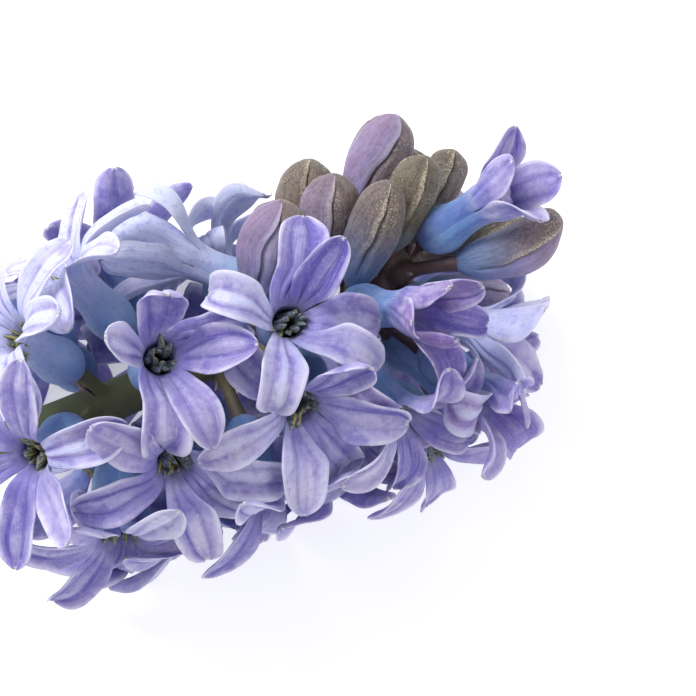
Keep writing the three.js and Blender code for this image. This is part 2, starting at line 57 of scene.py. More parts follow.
# The florets' and buds' own forms, as in the solids. Where a tepal's bends and taper start and end is given
# in shares of its length, and its cup in shares of its half width. UNEVEN is how far tepals differ from each
# other, and INNER how the three inner ones differ from the outer ones. A floret whose tepals spread by less
# than OPEN_SPREAD is closed.
TUBE = Sizes(length=14, mouth=3.2)
TEPAL = Sizes(length=18.8, half_width=4.6, flare=18, spread=64, recurve=30, steps=40, spread_end=0.36,
              recurve_start=0.35, turn_end=0.45, widest=0.5, taper_start=0.58, taper_power=3, cup_root=0.27,
              cup_tip=0.16, cup_end=0.6)
UNEVEN = Sizes(side=5, spread=7, recurve=12, twist=9, length=0.05)
INNER = Sizes(closer=8, width=0.94, outer_width=1.04)
OPEN_SPREAD = 40
BUD = Sizes(length=21, radius=4.5)

# The open florets, from 1: the pedicel's station, then its angle round the stem and its reach, or else the
# floret's base from HEAD, then the floret's lean from the stem's direction, the way that it faces round the
# stem, and its roll.
PLACES = [
    (-12, (3, 11), 78, 2, -140), (-14, (-35, 11), 84, -29, -130), (-36.5, (9, 11), 75, 8, -145),
    (-36, (-37, 11), 90, -31, -110), (0, (2.6, 0, 8.5), 52, -23, 20), (-7.5, (-9.8, 7.6, -1.2), 134, 84, -14),
    (-17.4, (142, 10), 88, 120, 15), (-6, (-1, -9.2, 6), 68, -59, 0), (7, (12.5, -1.8, -1), 46, -76, 68),
    (5, (12.5, -12.6, 3.4), 60, -62, 15), (-2, (4.2, -16.4, -3.5), 78, -68, 15),
    (-13, (-110, 12), 88, -100, 0), (-23, (-78, 12), 90, -72, 30), (-34, (-98, 12), 96, -88, 10),
    (-45, (-66, 11), 106, -60, 40), (-47, (-12, 11), 124, -8, 0), (-44, (42, 11), 118, 46, 20),
    (-34, (66, 11), 110, 72, 0), (16, (20, 5.6, 3), 36, 14, -6), (-46, (100, 11), 108, 108, 20),
    (-32, (122, 11), 96, 122, 50), (-46, (148, 11), 104, 146, 0), (-33, (168, 11), 92, 168, 25),
    (-46, (-160, 11), 106, -158, 35), (-44, (-112, 11), 104, -112, 5), (-28, (-142, 11), 92, -142, 15),
    (-18, (178, 11), 88, 178, 52), (-10, (-148, 11), 86, -150, 5), (-3, (142, 10), 70, 158, 20),
    (4, (-176, 10), 66, -176, 50), (6, (-128, 10), 68, -126, 10),
]
OWN_FORMS = {
    5: dict(spread=18, recurve=30, narrow=0.86, size=0.86),
    8: dict(spread=44, recurve=64, narrow=0.95, size=0.9),
    9: dict(spread=20, recurve=80, narrow=1.15, size=0.9),
    10: dict(spread=20, recurve=80, narrow=1.1, size=0.82),
    11: dict(size=0.9),
    19: dict(spread=22, recurve=32, narrow=1.2, size=0.75),
    29: dict(spread=41, recurve=24, size=0.84),
}
# For the florets in view, how far each tepal turns aside, and how much further it opens and curls.
OWN_TEPALS = {
    1: [(17, 33, 0, -1, -40, -20), (-18, -8, 14, -46, 6, -26), (80, 60, 20, -10, 20, 100)],
    2: [(18, -5, -38, -18, -22, 10), (-10, -4, -6, -4, -16, 6), (-10, 20, 20, 0, 10, -20)],
    3: [(36, 2, -24, -31, -18, -14), (0, -10, -24, 6, -54, -60), (70, 80, 10, 20, -60, 0)],
    4: [(16, -12, -50, 14, -8, -6), (4, 24, 0, -14, 0, 0), (0, -20, 10, 10, -10, 30)],
    5: [(-8, 8, 0, 0, -16, 0), (-30, -34, -14, -20, -16, -10), (0, -20, 0, -20, 10, -8)],
    6: [(-2, 10, 0, 4, 20, -2), (-29, 6, -10, -24, -46, -52), (-131, 36, 0, -10, -20, -10)],
    7: [(0, 0, -20, -30, 10, 0), (0, 0, 0, 30, 4, 0), (0, 0, 0, 70, 40, 40)],
    8: [(0, 0, 0, 0, 0, 0), (-10, -10, 0, 0, 0, 0), (40, 40, 0, 0, 10, 30)],
    9: [(0, 10, 0, 0, -10, 0), (-8, -10, 0, -10, -10, -14), (-30, -20, 0, -20, -50, -30)],
    10: [(-18, 10, -30, -10, -10, 0), (-6, -20, -20, -10, -10, 0), (-40, -20, 10, -20, 20, 0)],
    11: [(0, 0, 0, 0, 0, 16), (0, 0, 0, 0, 0, -10), (0, 0, 0, 0, 0, 0)],
    19: [(-2, 13, -24, -14, 20, 24), (-36, -34, -60, -40, -40, -50), (0, -24, 10, 0, -10, -40)],
}
FLORETS = [{**dict(zip(("at", "place", "lean", "face", "roll"), row)), **OWN_FORMS.get(number, {}),
            "tepals": OWN_TEPALS.get(number)} for number, row in enumerate(PLACES, 1)]
OPENING_FLORETS = (5, 19)
BACK_FLORETS = range(21, 32)

# The closed buds: where and how each sits, as for the florets, its size, fatness and bow, and how it is
# finished. seam: angle of its first seam from the line that looks up, and turn: how far the seams wind from
# foot to tip. strip: width of the inner tepals that show. keel: height of the ridge along each outer tepal.
# violet, one for each outer tepal, blue at the foot, and olive against mauve-brown, from 0 to 1.
BUD_COLUMNS = ("at", "place", "lean", "face", "size", "fat", "bow", "seam", "turn", "strip", "keel", "violet",
               "blue", "olive")
BUDS = [dict(zip(BUD_COLUMNS, row)) for row in (
    (2, (4.8, 2.7, 8), 52, 60, 1.0, 0.98, (0.5, 0.5, 0), 8, 24, 2, 0.5, (0.0, 0.1, 0.1), 1.0, 0.6),
    (9, (14.1, 6.6, 3), 54, 62, 0.9, 0.97, (0.8, -0.6, 0), 20, 10, 0, 0.1, (0.0, 0.05, 0.0), 0.3, 1.0),
    (-2, (0.5, 7.2, 3), 64, 66, 0.9, 1.08, (0.8, 0, 0), 10, -8, 3, 0.45, (0.1, 0.3, 0.5), 0.6, 0.4),
    (-13, (-11.9, 5.2, 7), 66, 60, 0.98, 1.25, (2.5, 0, 0), 2, 12, 30, 0.3, (0.05, 0.3, 0.95), 0.75, 0.2),
    (-4, (-3, 11.5, -3), 60, 88, 0.88, 1.08, (0.5, 0, 0), 4, -10, 3, 0.6, (0.0, 0.0, 0.0), 0.15, 0.5),
    (5, (9, 13.4, -2.5), 47, 86, 1.02, 1.18, (0.6, 0, 0), 12, 48, 4, 0.45, (0.2, 0.4, 0.95), 0.35, 0.2),
    (15, (19, 12.2, -7), 62, 100, 0.57, 0.8, (0, 0, 0), 30, 0, 0, 0.2, (0.0, 0.0, 0.0), 0.2, 0.9),
    (17, (21.8, 9, -4), 46, 92, 0.68, 0.78, (0, 0, 0), 12, 0, 4, 0.4, (0.1, 0.0, 0.0), 0.2, 0.8),
    (12, (24, -0.2, 5), 17, -78, 1.02, 1.08, (0, 5.6, 0), 26, -10, 2, 0.25, (0.85, 0.3, 0.12), 0.95, 0.25),
    (16, (23, 2.5, -6.5), 8, 140, 0.76, 0.82, (0, 0, 0), 20, 0, 0, 0.2, (0.0, 0.0, 0.0), 0.35, 1.0),
    (12, (162, 9.5), 44, 150, 0.95, 1.0, (0, 0, 0), 15, 16, 4, 0.3, (1.0, 0.9, 0.9), 1.0, 0.1),
    (13, (-142, 9.5), 44, -150, 0.95, 1.0, (0, 0, 0), -20, 10, 2, 0.2, (0.9, 1.0, 1.0), 1.0, 0.1),
)]

# How florets are coloured apart from the rest: deep for dark violet, below 0 where painted light washes it
# out to near white, and pink for mauve, both up to 1. The front ones have a depth for each tepal. The inside
# of a tepal is painted deeper in its hollows, as painted shade.
TONES = {1: (0.12, 0.05), 2: (0.25, 0.1), 3: (0.3, 0.15), 4: (0.3, 0.1), 5: (0.35, 0.75), 6: (-0.2, 0.0),
         7: (-0.25, 0.0), 8: (0.45, 0.35), 9: (0.08, 0.1), 10: (0.75, 0.5), 11: (0.5, 0.25), 17: (-0.1, 0.0),
         18: (-0.1, 0.0), 19: (0.5, 0.2)}
USUAL_TONE = (0.35, 0.1)
TEPAL_DEPTHS = {1: (0.1, 0.15, 0.35, 0.95, 0.7, 0.0), 2: (0.15, 0.45, 0.4, 0.6, 0.45, 0.15),
                3: (0.3, 0.5, 0.6, 0.4, 0.6, 0.1), 4: (0.2, 0.45, 0.1, 0.35, 0.3, 0.5),
                5: (0.4, 0.6, 0.45, 0.35, 0.65, 0.95), 10: (0.2, 0.9, 0.1, 0.3, 0.8, 0.2)}
TONE_SPREAD = Sizes(front=0.05, most=0.35, pink=0.1, palest=-0.3)
# Painted shade: how much deeper violet the inside of a tepal is painted in its hollows
HOLLOW_SHADE_DEPTH = 0.95

# Fineness, thickness and relief of the petals and tubes. ruffles and waves are counted along a tepal, and
# flutes is an angle in radians across half of it.
FINE = Sizes(tube_rows=15, floor_row=6, tepal_rows=38, columns=19, back_rows=26, back_columns=11,
             crowding=1.2)
SKIN = Sizes(wall=0.42, middle=0.34, rim=0.13, rim_power=2.2, thinning=0.25, floor_gap=0.32)
RELIEF = Sizes(middle=0.42, groove=0.46, fold_width=0.14, fold_root=0.24, fold_tip=0.5, flute=0.05, flutes=11,
               ruffle=0.4, ruffles=1.3, wave=0.4, waves=0.75, roll=1.7, roll_width=3.4, roll_start=0.62,
               hood=0.8, hood_start=0.82, cup=0.15)
RIM_FORM = Sizes(uneven=0.05, waves=1.7, slim=0.87, slim_uneven=0.06, folded_in=0.5, folded_lift=-60,
                 blunt=(0.42, 0.64), full=2.2)
TUBE_LEVELS = [0, 0.06, 0.3, 0.66, 0.88, 1.0]
TUBE_RADII = [1.3, 2.3, 3.85, 3.05, 2.95, TUBE.mouth]
TUBE_RIB = 0.035

# The stamens and pistil: heights above the floret's base, distances out from its axis, radii and turns
STAMEN = Sizes(foot=7.2, foot_out=2.3, knee=(10.8, 11.6), knee_out=1.7, top=(15.2, 17.2), top_out=0.5,
               lean_out=3.1, turn=12, top_turn=34, radii=[0.32, 0.28, 0.25, 0.2],
               leans=[0.0, 0.25, 0.5, 0.75, 0.95, 1.1], closed_lean=0.3, raised_tepal=-25, held=0.6)
ANTHER = Sizes(radius=0.8, sizes=(0.8, 1.15), lengths=(0.9, 1.15), start=0.1, bow=0.5, apart=0.3,
               parts=(0.3, 1.0), lump=0.12, lumps=9, rings=12, sides=10, flat=0.2, slit=0.6, slit_width=0.45)
PISTIL = Sizes(heights=np.array([4.6, 5.2, 6.4, 7.6, 8.4, 8.9, 9.6, 10.4]),
               radii=np.array([1.2, 1.75, 1.95, 1.6, 1.0, 0.5, 0.38, 0.5]), lobe=0.12, sides=18)

# The buds: radius along their length as a share of their width, and relief
BUD_LEVELS = [0, 0.05, 0.14, 0.36, 0.66, 0.87, 0.955, 0.99, 1.0]
BUD_WIDTHS = [0.3, 0.46, 0.68, 0.83, 0.98, 0.76, 0.45, 0.2, 0.06]
BUD_ROWS = np.linspace(0, 1, 60) ** 0.92 * 0.997
BUD_ACROSS = np.array([0, 0.015, 0.04, 0.09, 0.16, 0.25, 0.34, 0.43, 0.5, 0.57, 0.66, 0.75, 0.84, 0.91, 0.96,
                       0.985, 1])
BUD_STRIP = np.array([0, 0.25, 0.5, 0.75, 1])
BUD_RELIEF = Sizes(crown=0.3, over=0.34, under=0.14, wrinkle=0.09, wrinkles=31, strip=-0.4, strip_crown=0.25,
                   seam=0.6, rib=0.09, ribs=9, lump=0.2)

# The stem's skin, how its tip narrows, and the bracts under its pedicels
STEM_SKIN = Sizes(rows=90, sides=24, rib=0.035, ribs=5, voxel=0.42, softenings=3, cut_edge=0.5)
STEM_TIP = [0.9, 0.75, 0.5, 0.2]
BRACT = Sizes(lengths=(2.4, 4.2), half=1.1, half_sine=0.68, tip=0.05, taper=1.4, out=1.65, flare=1.2,
              wrap=0.75, thick=0.11, sunk=0.4)


# Shapes shared with the solids

def smooth(low, high, x):
    share = np.clip((x - low) / (high - low), 0, 1)
    return share * share * (3 - 2 * share)


def mix(one, other, share):
    return one + (other - one) * share


def unit(vectors):
    return vectors / np.linalg.norm(vectors, axis=-1, keepdims=True)


def triples(*values):
    """Three arrays, spread to one layout, as an array of triples."""
    return np.stack(np.broadcast_arrays(*values), -1)


def uneven(index, salt):
    """A repeatable number from -1 to 1 for the natural unevenness of one tepal."""
    wave = math.sin(index * 12.9898 + salt * 78.233) * 43758.5453
    return 2 * (wave - math.floor(wave)) - 1


def stem_point(station):
    """Points of the stem's centreline at one station or at many."""
    station = np.asarray(station, float)
    sagged = np.maximum(0, (STEM.sag - station) / (STEM.sag - STEM.cut))
    turned = np.maximum(0, (station - STEM.turn) / STEM.turn_length)
    drop = (HEAD[2] - STEM.cut_height) * sagged ** STEM.sag_power
    return np.stack([HEAD[0] + station, HEAD[1] + STEM.turn_aside * turned ** 2, HEAD[2] - drop], -1)


def stem_radius(station):
    return np.interp(station, [STEM.cut, STEM.sag, STEM.top],
                     [STEM.cut_radius, STEM.head_radius, STEM.top_radius])


def way_from(lean, turn):
    """Unit vector at an angle from the stem's direction and an angle round the stem."""
    lean, turn = math.radians(lean), math.radians(turn)
    return np.array([math.cos(lean), math.sin(lean) * math.sin(turn), math.sin(lean) * math.cos(turn)])


class Seat:
    """Where a floret or bud sits: its root in the stem, its base and its own three directions."""

    def __init__(self, bloom):
        self.root = stem_point(bloom["at"])
        place = bloom["place"]
        if len(place) == 3:
            self.base = HEAD + place
        else:
            angle, reach = place
            self.base = self.root + way_from((90 + bloom["lean"]) / 2, angle) * reach
        self.along = way_from(bloom["lean"], bloom["face"])
        self.across = unit(np.array([1.0, 0, 0]) - self.along * self.along[0])
        self.beside = np.cross(self.along, self.across)

    def out(self, angle):
        """Directions square to the axis."""
        angle = np.radians(angle)[..., None]
        return np.cos(angle) * self.across + np.sin(angle) * self.beside

    def around(self, *place):
        """Points at heights along the axis, distances from it and angles round it."""
        height, radius, angle = (np.asarray(value) for value in place)
        return self.base + height[..., None] * self.along + radius[..., None] * self.out(angle)

    def looks_up(self):
        """The angle round the axis of the side that faces up."""
        return math.degrees(math.atan2(self.beside[2], self.across[2]))


def above_table(height, touch=TABLE.touch):
    """Heights with what would go below the table bent to lie along it."""
    start = touch + TABLE.soft
    return np.where(height > start, height, touch + np.exp(np.minimum(height, start) - start))


def tepal_shape(floret, index, k, bends):
    """What shapes one tepal, once for each row (short, lift, side) of bends."""
    short, lift, side = bends.T
    inner = k % 2
    size = floret.get("size", 1)
    if floret["tepals"]:
        turns, opens, curls = (row[k] for row in floret["tepals"])
    else:
        turns = UNEVEN.side * uneven(index, k + 1)
        opens = UNEVEN.spread * uneven(index, k + 11) - INNER.closer * inner
        curls = UNEVEN.recurve * uneven(index, k + 21)
    width = INNER.width if inner else INNER.outer_width
    return dict(
        azimuth=floret["roll"] + 60 * k,
        side=turns + side,
        spread=floret.get("spread", TEPAL.spread) + opens + 0.5 * lift,
        recurve=floret.get("recurve", TEPAL.recurve) + curls + lift,
        twist=UNEVEN.twist * uneven(index, k + 31),
        length=TEPAL.length * size * (1 + UNEVEN.length * uneven(index, k + 41)) * short,
        half_width=TEPAL.half_width * size * floret.get("narrow", 1) * width,
    )


def tepal_line(shape, s):
    """Radius, height and slope of a tepal's centreline at shares s of its length."""
    steps = TEPAL.steps

    def slope(share):
        return np.radians(TEPAL.flare + shape["spread"][:, None] * smooth(0, TEPAL.spread_end, share)
                          + shape["recurve"][:, None] * smooth(TEPAL.recurve_start, 1, share))

    middle = slope((np.arange(steps) + 0.5) / steps)
    step = shape["length"][:, None] / steps
    start = np.zeros((len(step), 1))
    radius = TUBE.mouth + np.hstack([start, np.cumsum(np.sin(middle) * step, axis=1)])
    height = TUBE.length + np.hstack([start, np.cumsum(np.cos(middle) * step, axis=1)])
    place = s * steps
    low = np.minimum(place.astype(int), steps - 1)
    part = place - low
    radius, height = (mix(line[:, low], line[:, low + 1], part) for line in (radius, height))
    return radius, height, slope(s)


def tapered(s):
    """How far along its tapering end a tepal is, from 0 to 1 at its tip."""
    start = TEPAL.taper_start
    return np.maximum(0, (s - start) / (1 - start))


def tepal_half_width(shape, s):
    root = TUBE.mouth * math.sin(math.pi / 6)
    belly = shape["half_width"] * (1 - tapered(s) ** TEPAL.taper_power)
    return mix(root, belly, smooth(0, TEPAL.widest, s))


def tepal_sheet(seat, shape, s, t, rise=0.0, touch=TABLE.touch):
    """The middle surface of a tepal: a point for each bend, share s of its length and share t of its half
    width. rise lifts it towards its inner face."""
    radius, height, slope = (line[..., None] for line in tepal_line(shape, s))
    angle = (shape["azimuth"] + shape["side"][:, None] * smooth(0, TEPAL.turn_end, s))[..., None]
    out = seat.out(angle)
    inwards = np.sin(slope)[..., None] * seat.along - np.cos(slope)[..., None] * out
    twist = np.radians(shape["twist"] * s)[:, None, None]
    width = np.cos(twist) * np.cross(seat.along, out) + np.sin(twist) * inwards
    half = tepal_half_width(shape, s)[:, None]
    cup = mix(TEPAL.cup_root, TEPAL.cup_tip, smooth(0, TEPAL.cup_end, s))[:, None]
    points = seat.around(height, radius, angle) + (half * t)[..., None] * width
    points = points + (cup * half * t * t + rise)[..., None] * inwards
    points[..., 2] = above_table(points[..., 2], touch)
    return points


# The bends that a tepal may have in the solids, and the shares of its length where its margins have corners
BENDS = np.array([(short, lift, side)
                  for short in (1, 0.85, 0.7, 0.55)
                  for lift in (0, 14, -14, 28, -28, 44, -44, 62, -62, 82, -82)
                  for side in (0, 9, -9, 18, -18, 28, -28)], float)
MARGIN_STATIONS = np.array([0.65, 0.9])


def bend_in_solid(corners, seat, floret, index, k):
    """The bend that a floret's solid gives a tepal: the one whose tip and margins are corners of it."""
    shape = tepal_shape(floret, index, k, BENDS)
    margins = tepal_sheet(seat, shape, MARGIN_STATIONS, np.array([-1.0, 1.0]))
    tip = tepal_sheet(seat, shape, np.array([1.0]), np.array([0.0]))
    tests = np.concatenate([margins.reshape(len(BENDS), -1, 3), tip.reshape(len(BENDS), -1, 3)], axis=1)
    tests[..., 2][tests[..., 2] < TABLE.snap] = 0
    gaps = np.linalg.norm(tests[:, :, None] - corners, axis=-1).min(axis=-1)
    return BENDS[[gaps.sum(axis=1).argmin()]]


def spline(x, knots, values):
    """A smooth curve through knots, with slopes taken from their neighbours."""
    knots, values = np.asarray(knots, float), np.asarray(values, float)
    slopes = np.gradient(values, knots)
    i = np.clip(np.searchsorted(knots, x, side="right") - 1, 0, len(knots) - 2)
    span = knots[i + 1] - knots[i]
    p = np.clip((x - knots[i]) / span, 0, 1)
    return ((2 * p ** 3 - 3 * p ** 2 + 1) * values[i] + (p ** 3 - 2 * p ** 2 + p) * span * slopes[i]
            + (3 * p ** 2 - 2 * p ** 3) * values[i + 1] + (p ** 3 - p ** 2) * span * slopes[i + 1])


# Meshes

def in_scene(name, data):
    """A new object in the scene."""
    made = bpy.data.objects.new(name, data)
    bpy.context.scene.collection.objects.link(made)
    return made


def place_piece(name, mesh, look, slot, *nodes):
    """A piece of the flower in the scene, riding on the root in place of the nodes."""
    piece = in_scene(name, mesh)
    mesh.materials.append(look)
    mesh.shade_smooth()
    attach(piece, "root")
    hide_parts(*nodes)


def write_marks(mesh, title, domain, values):
    layer = mesh.attributes.new(title, "FLOAT_VECTOR", domain)
    layer.data.foreach_set("vector", values.astype(np.float32).ravel())


class Skin:
    """A surface under construction. Each corner of a face carries the two sets of three marks that its
    colours follow."""

    def __init__(self):
        self.points, self.faces, self.marks, self.tones = [], [], [], []
        self.count = 0

    def add(self, points):
        """Adds points and returns their numbers, in the same layout."""
        flat = np.reshape(points, (-1, 3))
        numbers = np.arange(self.count, self.count + len(flat)).reshape(np.shape(points)[:-1])
        self.points.append(flat)
        self.count += len(flat)
        return numbers

    def patch(self, numbers, marks, tone=(0, 0, 0), flip=False):
        """Fills a grid of point numbers with quads. marks and tone hold three values for each point."""
        marks = np.broadcast_to(marks, numbers.shape + (3,))
        tone = np.broadcast_to(tone, numbers.shape + (3,))
        order = [(slice(None, -1), slice(None, -1)), (slice(None, -1), slice(1, None)),
                 (slice(1, None), slice(1, None)), (slice(1, None), slice(None, -1))]
        if flip:
            order.reverse()
        self.faces.append(np.stack([numbers[o] for o in order], -1).reshape(-1, 4))
        self.marks.append(np.stack([marks[o] for o in order], 2).reshape(-1, 3))
        self.tones.append(np.stack([tone[o] for o in order], 2).reshape(-1, 3))

    def join_sides(self, outer, inner, marks, tone=(0, 0, 0)):
        """Closes the gaps at both sides of two walls."""
        for side, flip in ((-1, False), (0, True)):
            self.patch(np.stack([outer[:, side], inner[:, side]], 1), marks[:, [side, side]], tone, flip)

    def fan(self, ring, centre, marks, tone, flip=False):
        """Closes a ring of point numbers with triangles to a centre."""
        middle = self.add(np.asarray(centre)[None])[0]
        after = np.roll(ring, -1)
        faces = np.stack([ring, after, np.full_like(ring, middle)], -1)
        self.faces.append(faces[:, ::-1] if flip else faces)
        self.marks.append(np.broadcast_to(marks, (3 * len(ring), 3)))
        self.tones.append(np.broadcast_to(tone, (3 * len(ring), 3)))

    def mesh(self, name):
        made = bpy.data.meshes.new(name)
        faces = [face for block in self.faces for face in block.tolist()]
        made.from_pydata((np.concatenate(self.points) * MM).tolist(), [], faces)
        return made

    def piece(self, name, look, slot, node):
        """Places the finished piece."""
        mesh = self.mesh(name)
        write_marks(mesh, "marks", "CORNER", np.concatenate(self.marks))
        write_marks(mesh, "tone", "CORNER", np.concatenate(self.tones))
        place_piece(name, mesh, look, slot, node)


def rod(skin, path, radii, sides, seed=0, tone=(0, 0, 0), section=None):
    """A closed round rod along a path, with a radius for each point. section scales the radius round it."""
    forward = unit(np.gradient(path, axis=0))
    across = np.cross(forward[0], [0.31, 0.52, 0.79])
    angles = np.arange(sides) * 2 * np.pi / sides
    shape = np.ones(sides) if section is None else section(angles)
    rings = []
    for point, ahead, radius in zip(path, forward, radii):
        across = unit(across - ahead * np.dot(across, ahead))
        beside = np.cross(ahead, across)
        ways = np.cos(angles)[:, None] * across + np.sin(angles)[:, None] * beside
        rings.append(point + ways * (radius * shape)[:, None])
    numbers = skin.add(np.array(rings))
    wrapped = np.hstack([numbers, numbers[:, :1]])
    levels = np.linspace(0, 1, len(path))[:, None]
    skin.patch(wrapped, triples(np.linspace(0, 1, sides + 1), levels, seed), tone)
    skin.fan(numbers[0], path[0], (0, 0, seed), tone, flip=True)
    skin.fan(numbers[-1], path[-1], (0, 1, seed), tone)


# Florets

def tube_radius(level):
    """Radius of the middle of the tube's wall, from its foot to its mouth."""
    return spline(level, TUBE_LEVELS, TUBE_RADII)


def half_thickness(s, t):
    """Half the thickness of a tepal: full along its middle, thin at its margins, less towards its tip."""
    return mix(SKIN.middle, SKIN.rim, np.abs(t) ** SKIN.rim_power) * (1 - SKIN.thinning * s)


def tube_walls(seat, roll, t, level):
    """The outer and inner points of a floret's ribbed tube, and the ways inwards at its mouth."""
    steps = len(t) - 1
    angles = roll - 30 + 60 * np.arange(6 * steps) / steps
    slope = np.arctan(np.gradient(tube_radius(level), level * TUBE.length))
    slope[-1] = math.radians(TEPAL.flare)
    slope, level = slope[:, None, None], level[:, None]
    ribs = 1 + TUBE_RIB * np.cos(np.radians(6 * (angles - roll))) * smooth(0.2, 0.9, level)
    middle = seat.around(level * TUBE.length, tube_radius(level) * ribs, angles)
    inwards = np.sin(slope) * seat.along - np.cos(slope) * seat.out(angles)
    at_mouth = half_thickness(0, np.tile(t[:-1], 6))
    wall = mix(SKIN.wall, at_mouth, smooth(0.75, 1, level))[..., None]
    return middle - inwards * wall, middle + inwards * wall, inwards[-1]


def tepal_relief(shape, s, t, draw):
    """How far a tepal's middle surface rises to its inner face, and how much painted shade it gets, from 0 to
    1.
    """
    half = tepal_half_width(shape, s)[:, None]
    s = s[:, None]
    side = np.abs(t)
    grown = smooth(0.08, 0.4, s)
    fading = smooth(0.02, 0.25, s) * (1 - smooth(0.84, 1, s))
    middle = t - draw(-0.2, 0.2) * s
    apart = mix(RELIEF.fold_root, RELIEF.fold_tip, s)

    def fold(at, width):
        return np.exp(-((middle - at) / width) ** 2) * fading

    def waves(count, shift):
        return np.sin(2 * np.pi * (count * s + shift))

    width = RELIEF.fold_width
    ridge = RELIEF.middle * draw(-0.7, 1) * fold(0, 0.8 * width)
    grooves = draw(0.3, 1) * fold(apart, width) + draw(0.3, 1) * fold(-apart, width)
    flute = RELIEF.flute * np.cos(RELIEF.flutes * t + draw(0, 6)) * grown
    phase = np.where(t > 0, draw(0, 1), draw(0, 1))
    ruffle = RELIEF.ruffle * side ** 3 * waves(RELIEF.ruffles, phase) * fading
    wave = RELIEF.wave * waves(RELIEF.waves, draw(0, 1)) * smooth(0.1, 0.6, s)
    rolled = np.where(t > 0, draw(0, 1) ** 1.5, draw(0, 1) ** 1.5)
    rolled = rolled * smooth(0.2, 0.75, s) * smooth(-20, 40, shape["spread"])
    broad = np.minimum(1, half / RELIEF.roll_width)
    roll = RELIEF.roll * rolled * broad * smooth(RELIEF.roll_start, 1, side) ** 1.4
    start = RELIEF.hood_start
    hood = RELIEF.hood * draw(0.3, 1.3) * np.maximum(0, (s - start) / (1 - start)) ** 2
    cup = RELIEF.cup * draw(0, 1) * half * t * t * smooth(0.15, 0.55, s)
    rise = ridge - RELIEF.groove * grooves + flute + ruffle + wave + roll + hood + cup
    # Painted shade: the hollows are the grooves, the band inside a rolled margin and the spoon of the tip,
    # less on the ridge
    margin_shade = rolled * np.exp(-((side - 0.6) / 0.2) ** 2)
    tip_shade = smooth(0.78, 0.94, s) * np.exp(-(middle / 0.4) ** 2)
    hollow_shade = np.clip(0.8 * grooves + 0.8 * margin_shade + 0.5 * tip_shade - ridge, 0, 1)
    return rise, hollow_shade


def tip_form(s, blunt):
    """How much wider than in the solids a tepal is towards its tip. A low blunt makes the tip rounder."""
    return (1 - tapered(s) ** RIM_FORM.full) ** blunt / (1 - tapered(s) ** TEPAL.taper_power)


def rim_form(floret, index, k, bend, s, seed, blunt):
    """The width of a tepal as a share of its solid's. A tepal folded deep into a closed floret is narrow."""
    slim = RIM_FORM.slim + RIM_FORM.slim_uneven * uneven(index, k + 51)
    if is_closed(floret):
        slim = RIM_FORM.folded_in if bend[0, 1] < RIM_FORM.folded_lift else 1
    rim = 1 + RIM_FORM.uneven * np.sin(2 * np.pi * (RIM_FORM.waves * s + seed))
    return rim * mix(1, slim, smooth(0, 0.4, s)) * tip_form(s, blunt)


def is_closed(floret):
    return floret.get("spread", TEPAL.spread) < OPEN_SPREAD


def tepal_walls(seat, shape, s, t, rise, rim, at_mouth):
    """The outer and inner points of a tepal, which joins the tube's wall at the mouth."""
    sheet = tepal_sheet(seat, shape, s, t, rise, SKIN.floor_gap)[0]
    centre = sheet[:, len(t) // 2][:, None]
    sheet = centre + (sheet - centre) * rim[:, None, None]
    normal = unit(np.cross(np.gradient(sheet, axis=0), np.gradient(sheet, axis=1)))
    normal = unit(mix(at_mouth, normal, smooth(0, 0.12, s)[:, None, None]))
    thick = half_thickness(s[:, None], t)[..., None]
    return sheet - normal * thick, sheet + normal * thick


def tepal_tone(index, k, draw):
    """Outside or inside, depth and pinkness of a tepal's outer face."""
    deep, pink = TONES.get(index + 1, USUAL_TONE)
    front = index + 1 in TEPAL_DEPTHS
    spread = TONE_SPREAD.front if front else min(max(deep, 0), TONE_SPREAD.most)
    depth = TEPAL_DEPTHS.get(index + 1, [deep] * 6)[k] + draw(-spread, spread)
    pinkness = pink + draw(-TONE_SPREAD.pink, TONE_SPREAD.pink)
    return 0, np.clip(depth, TONE_SPREAD.palest, 1), np.clip(pinkness, 0, 1)


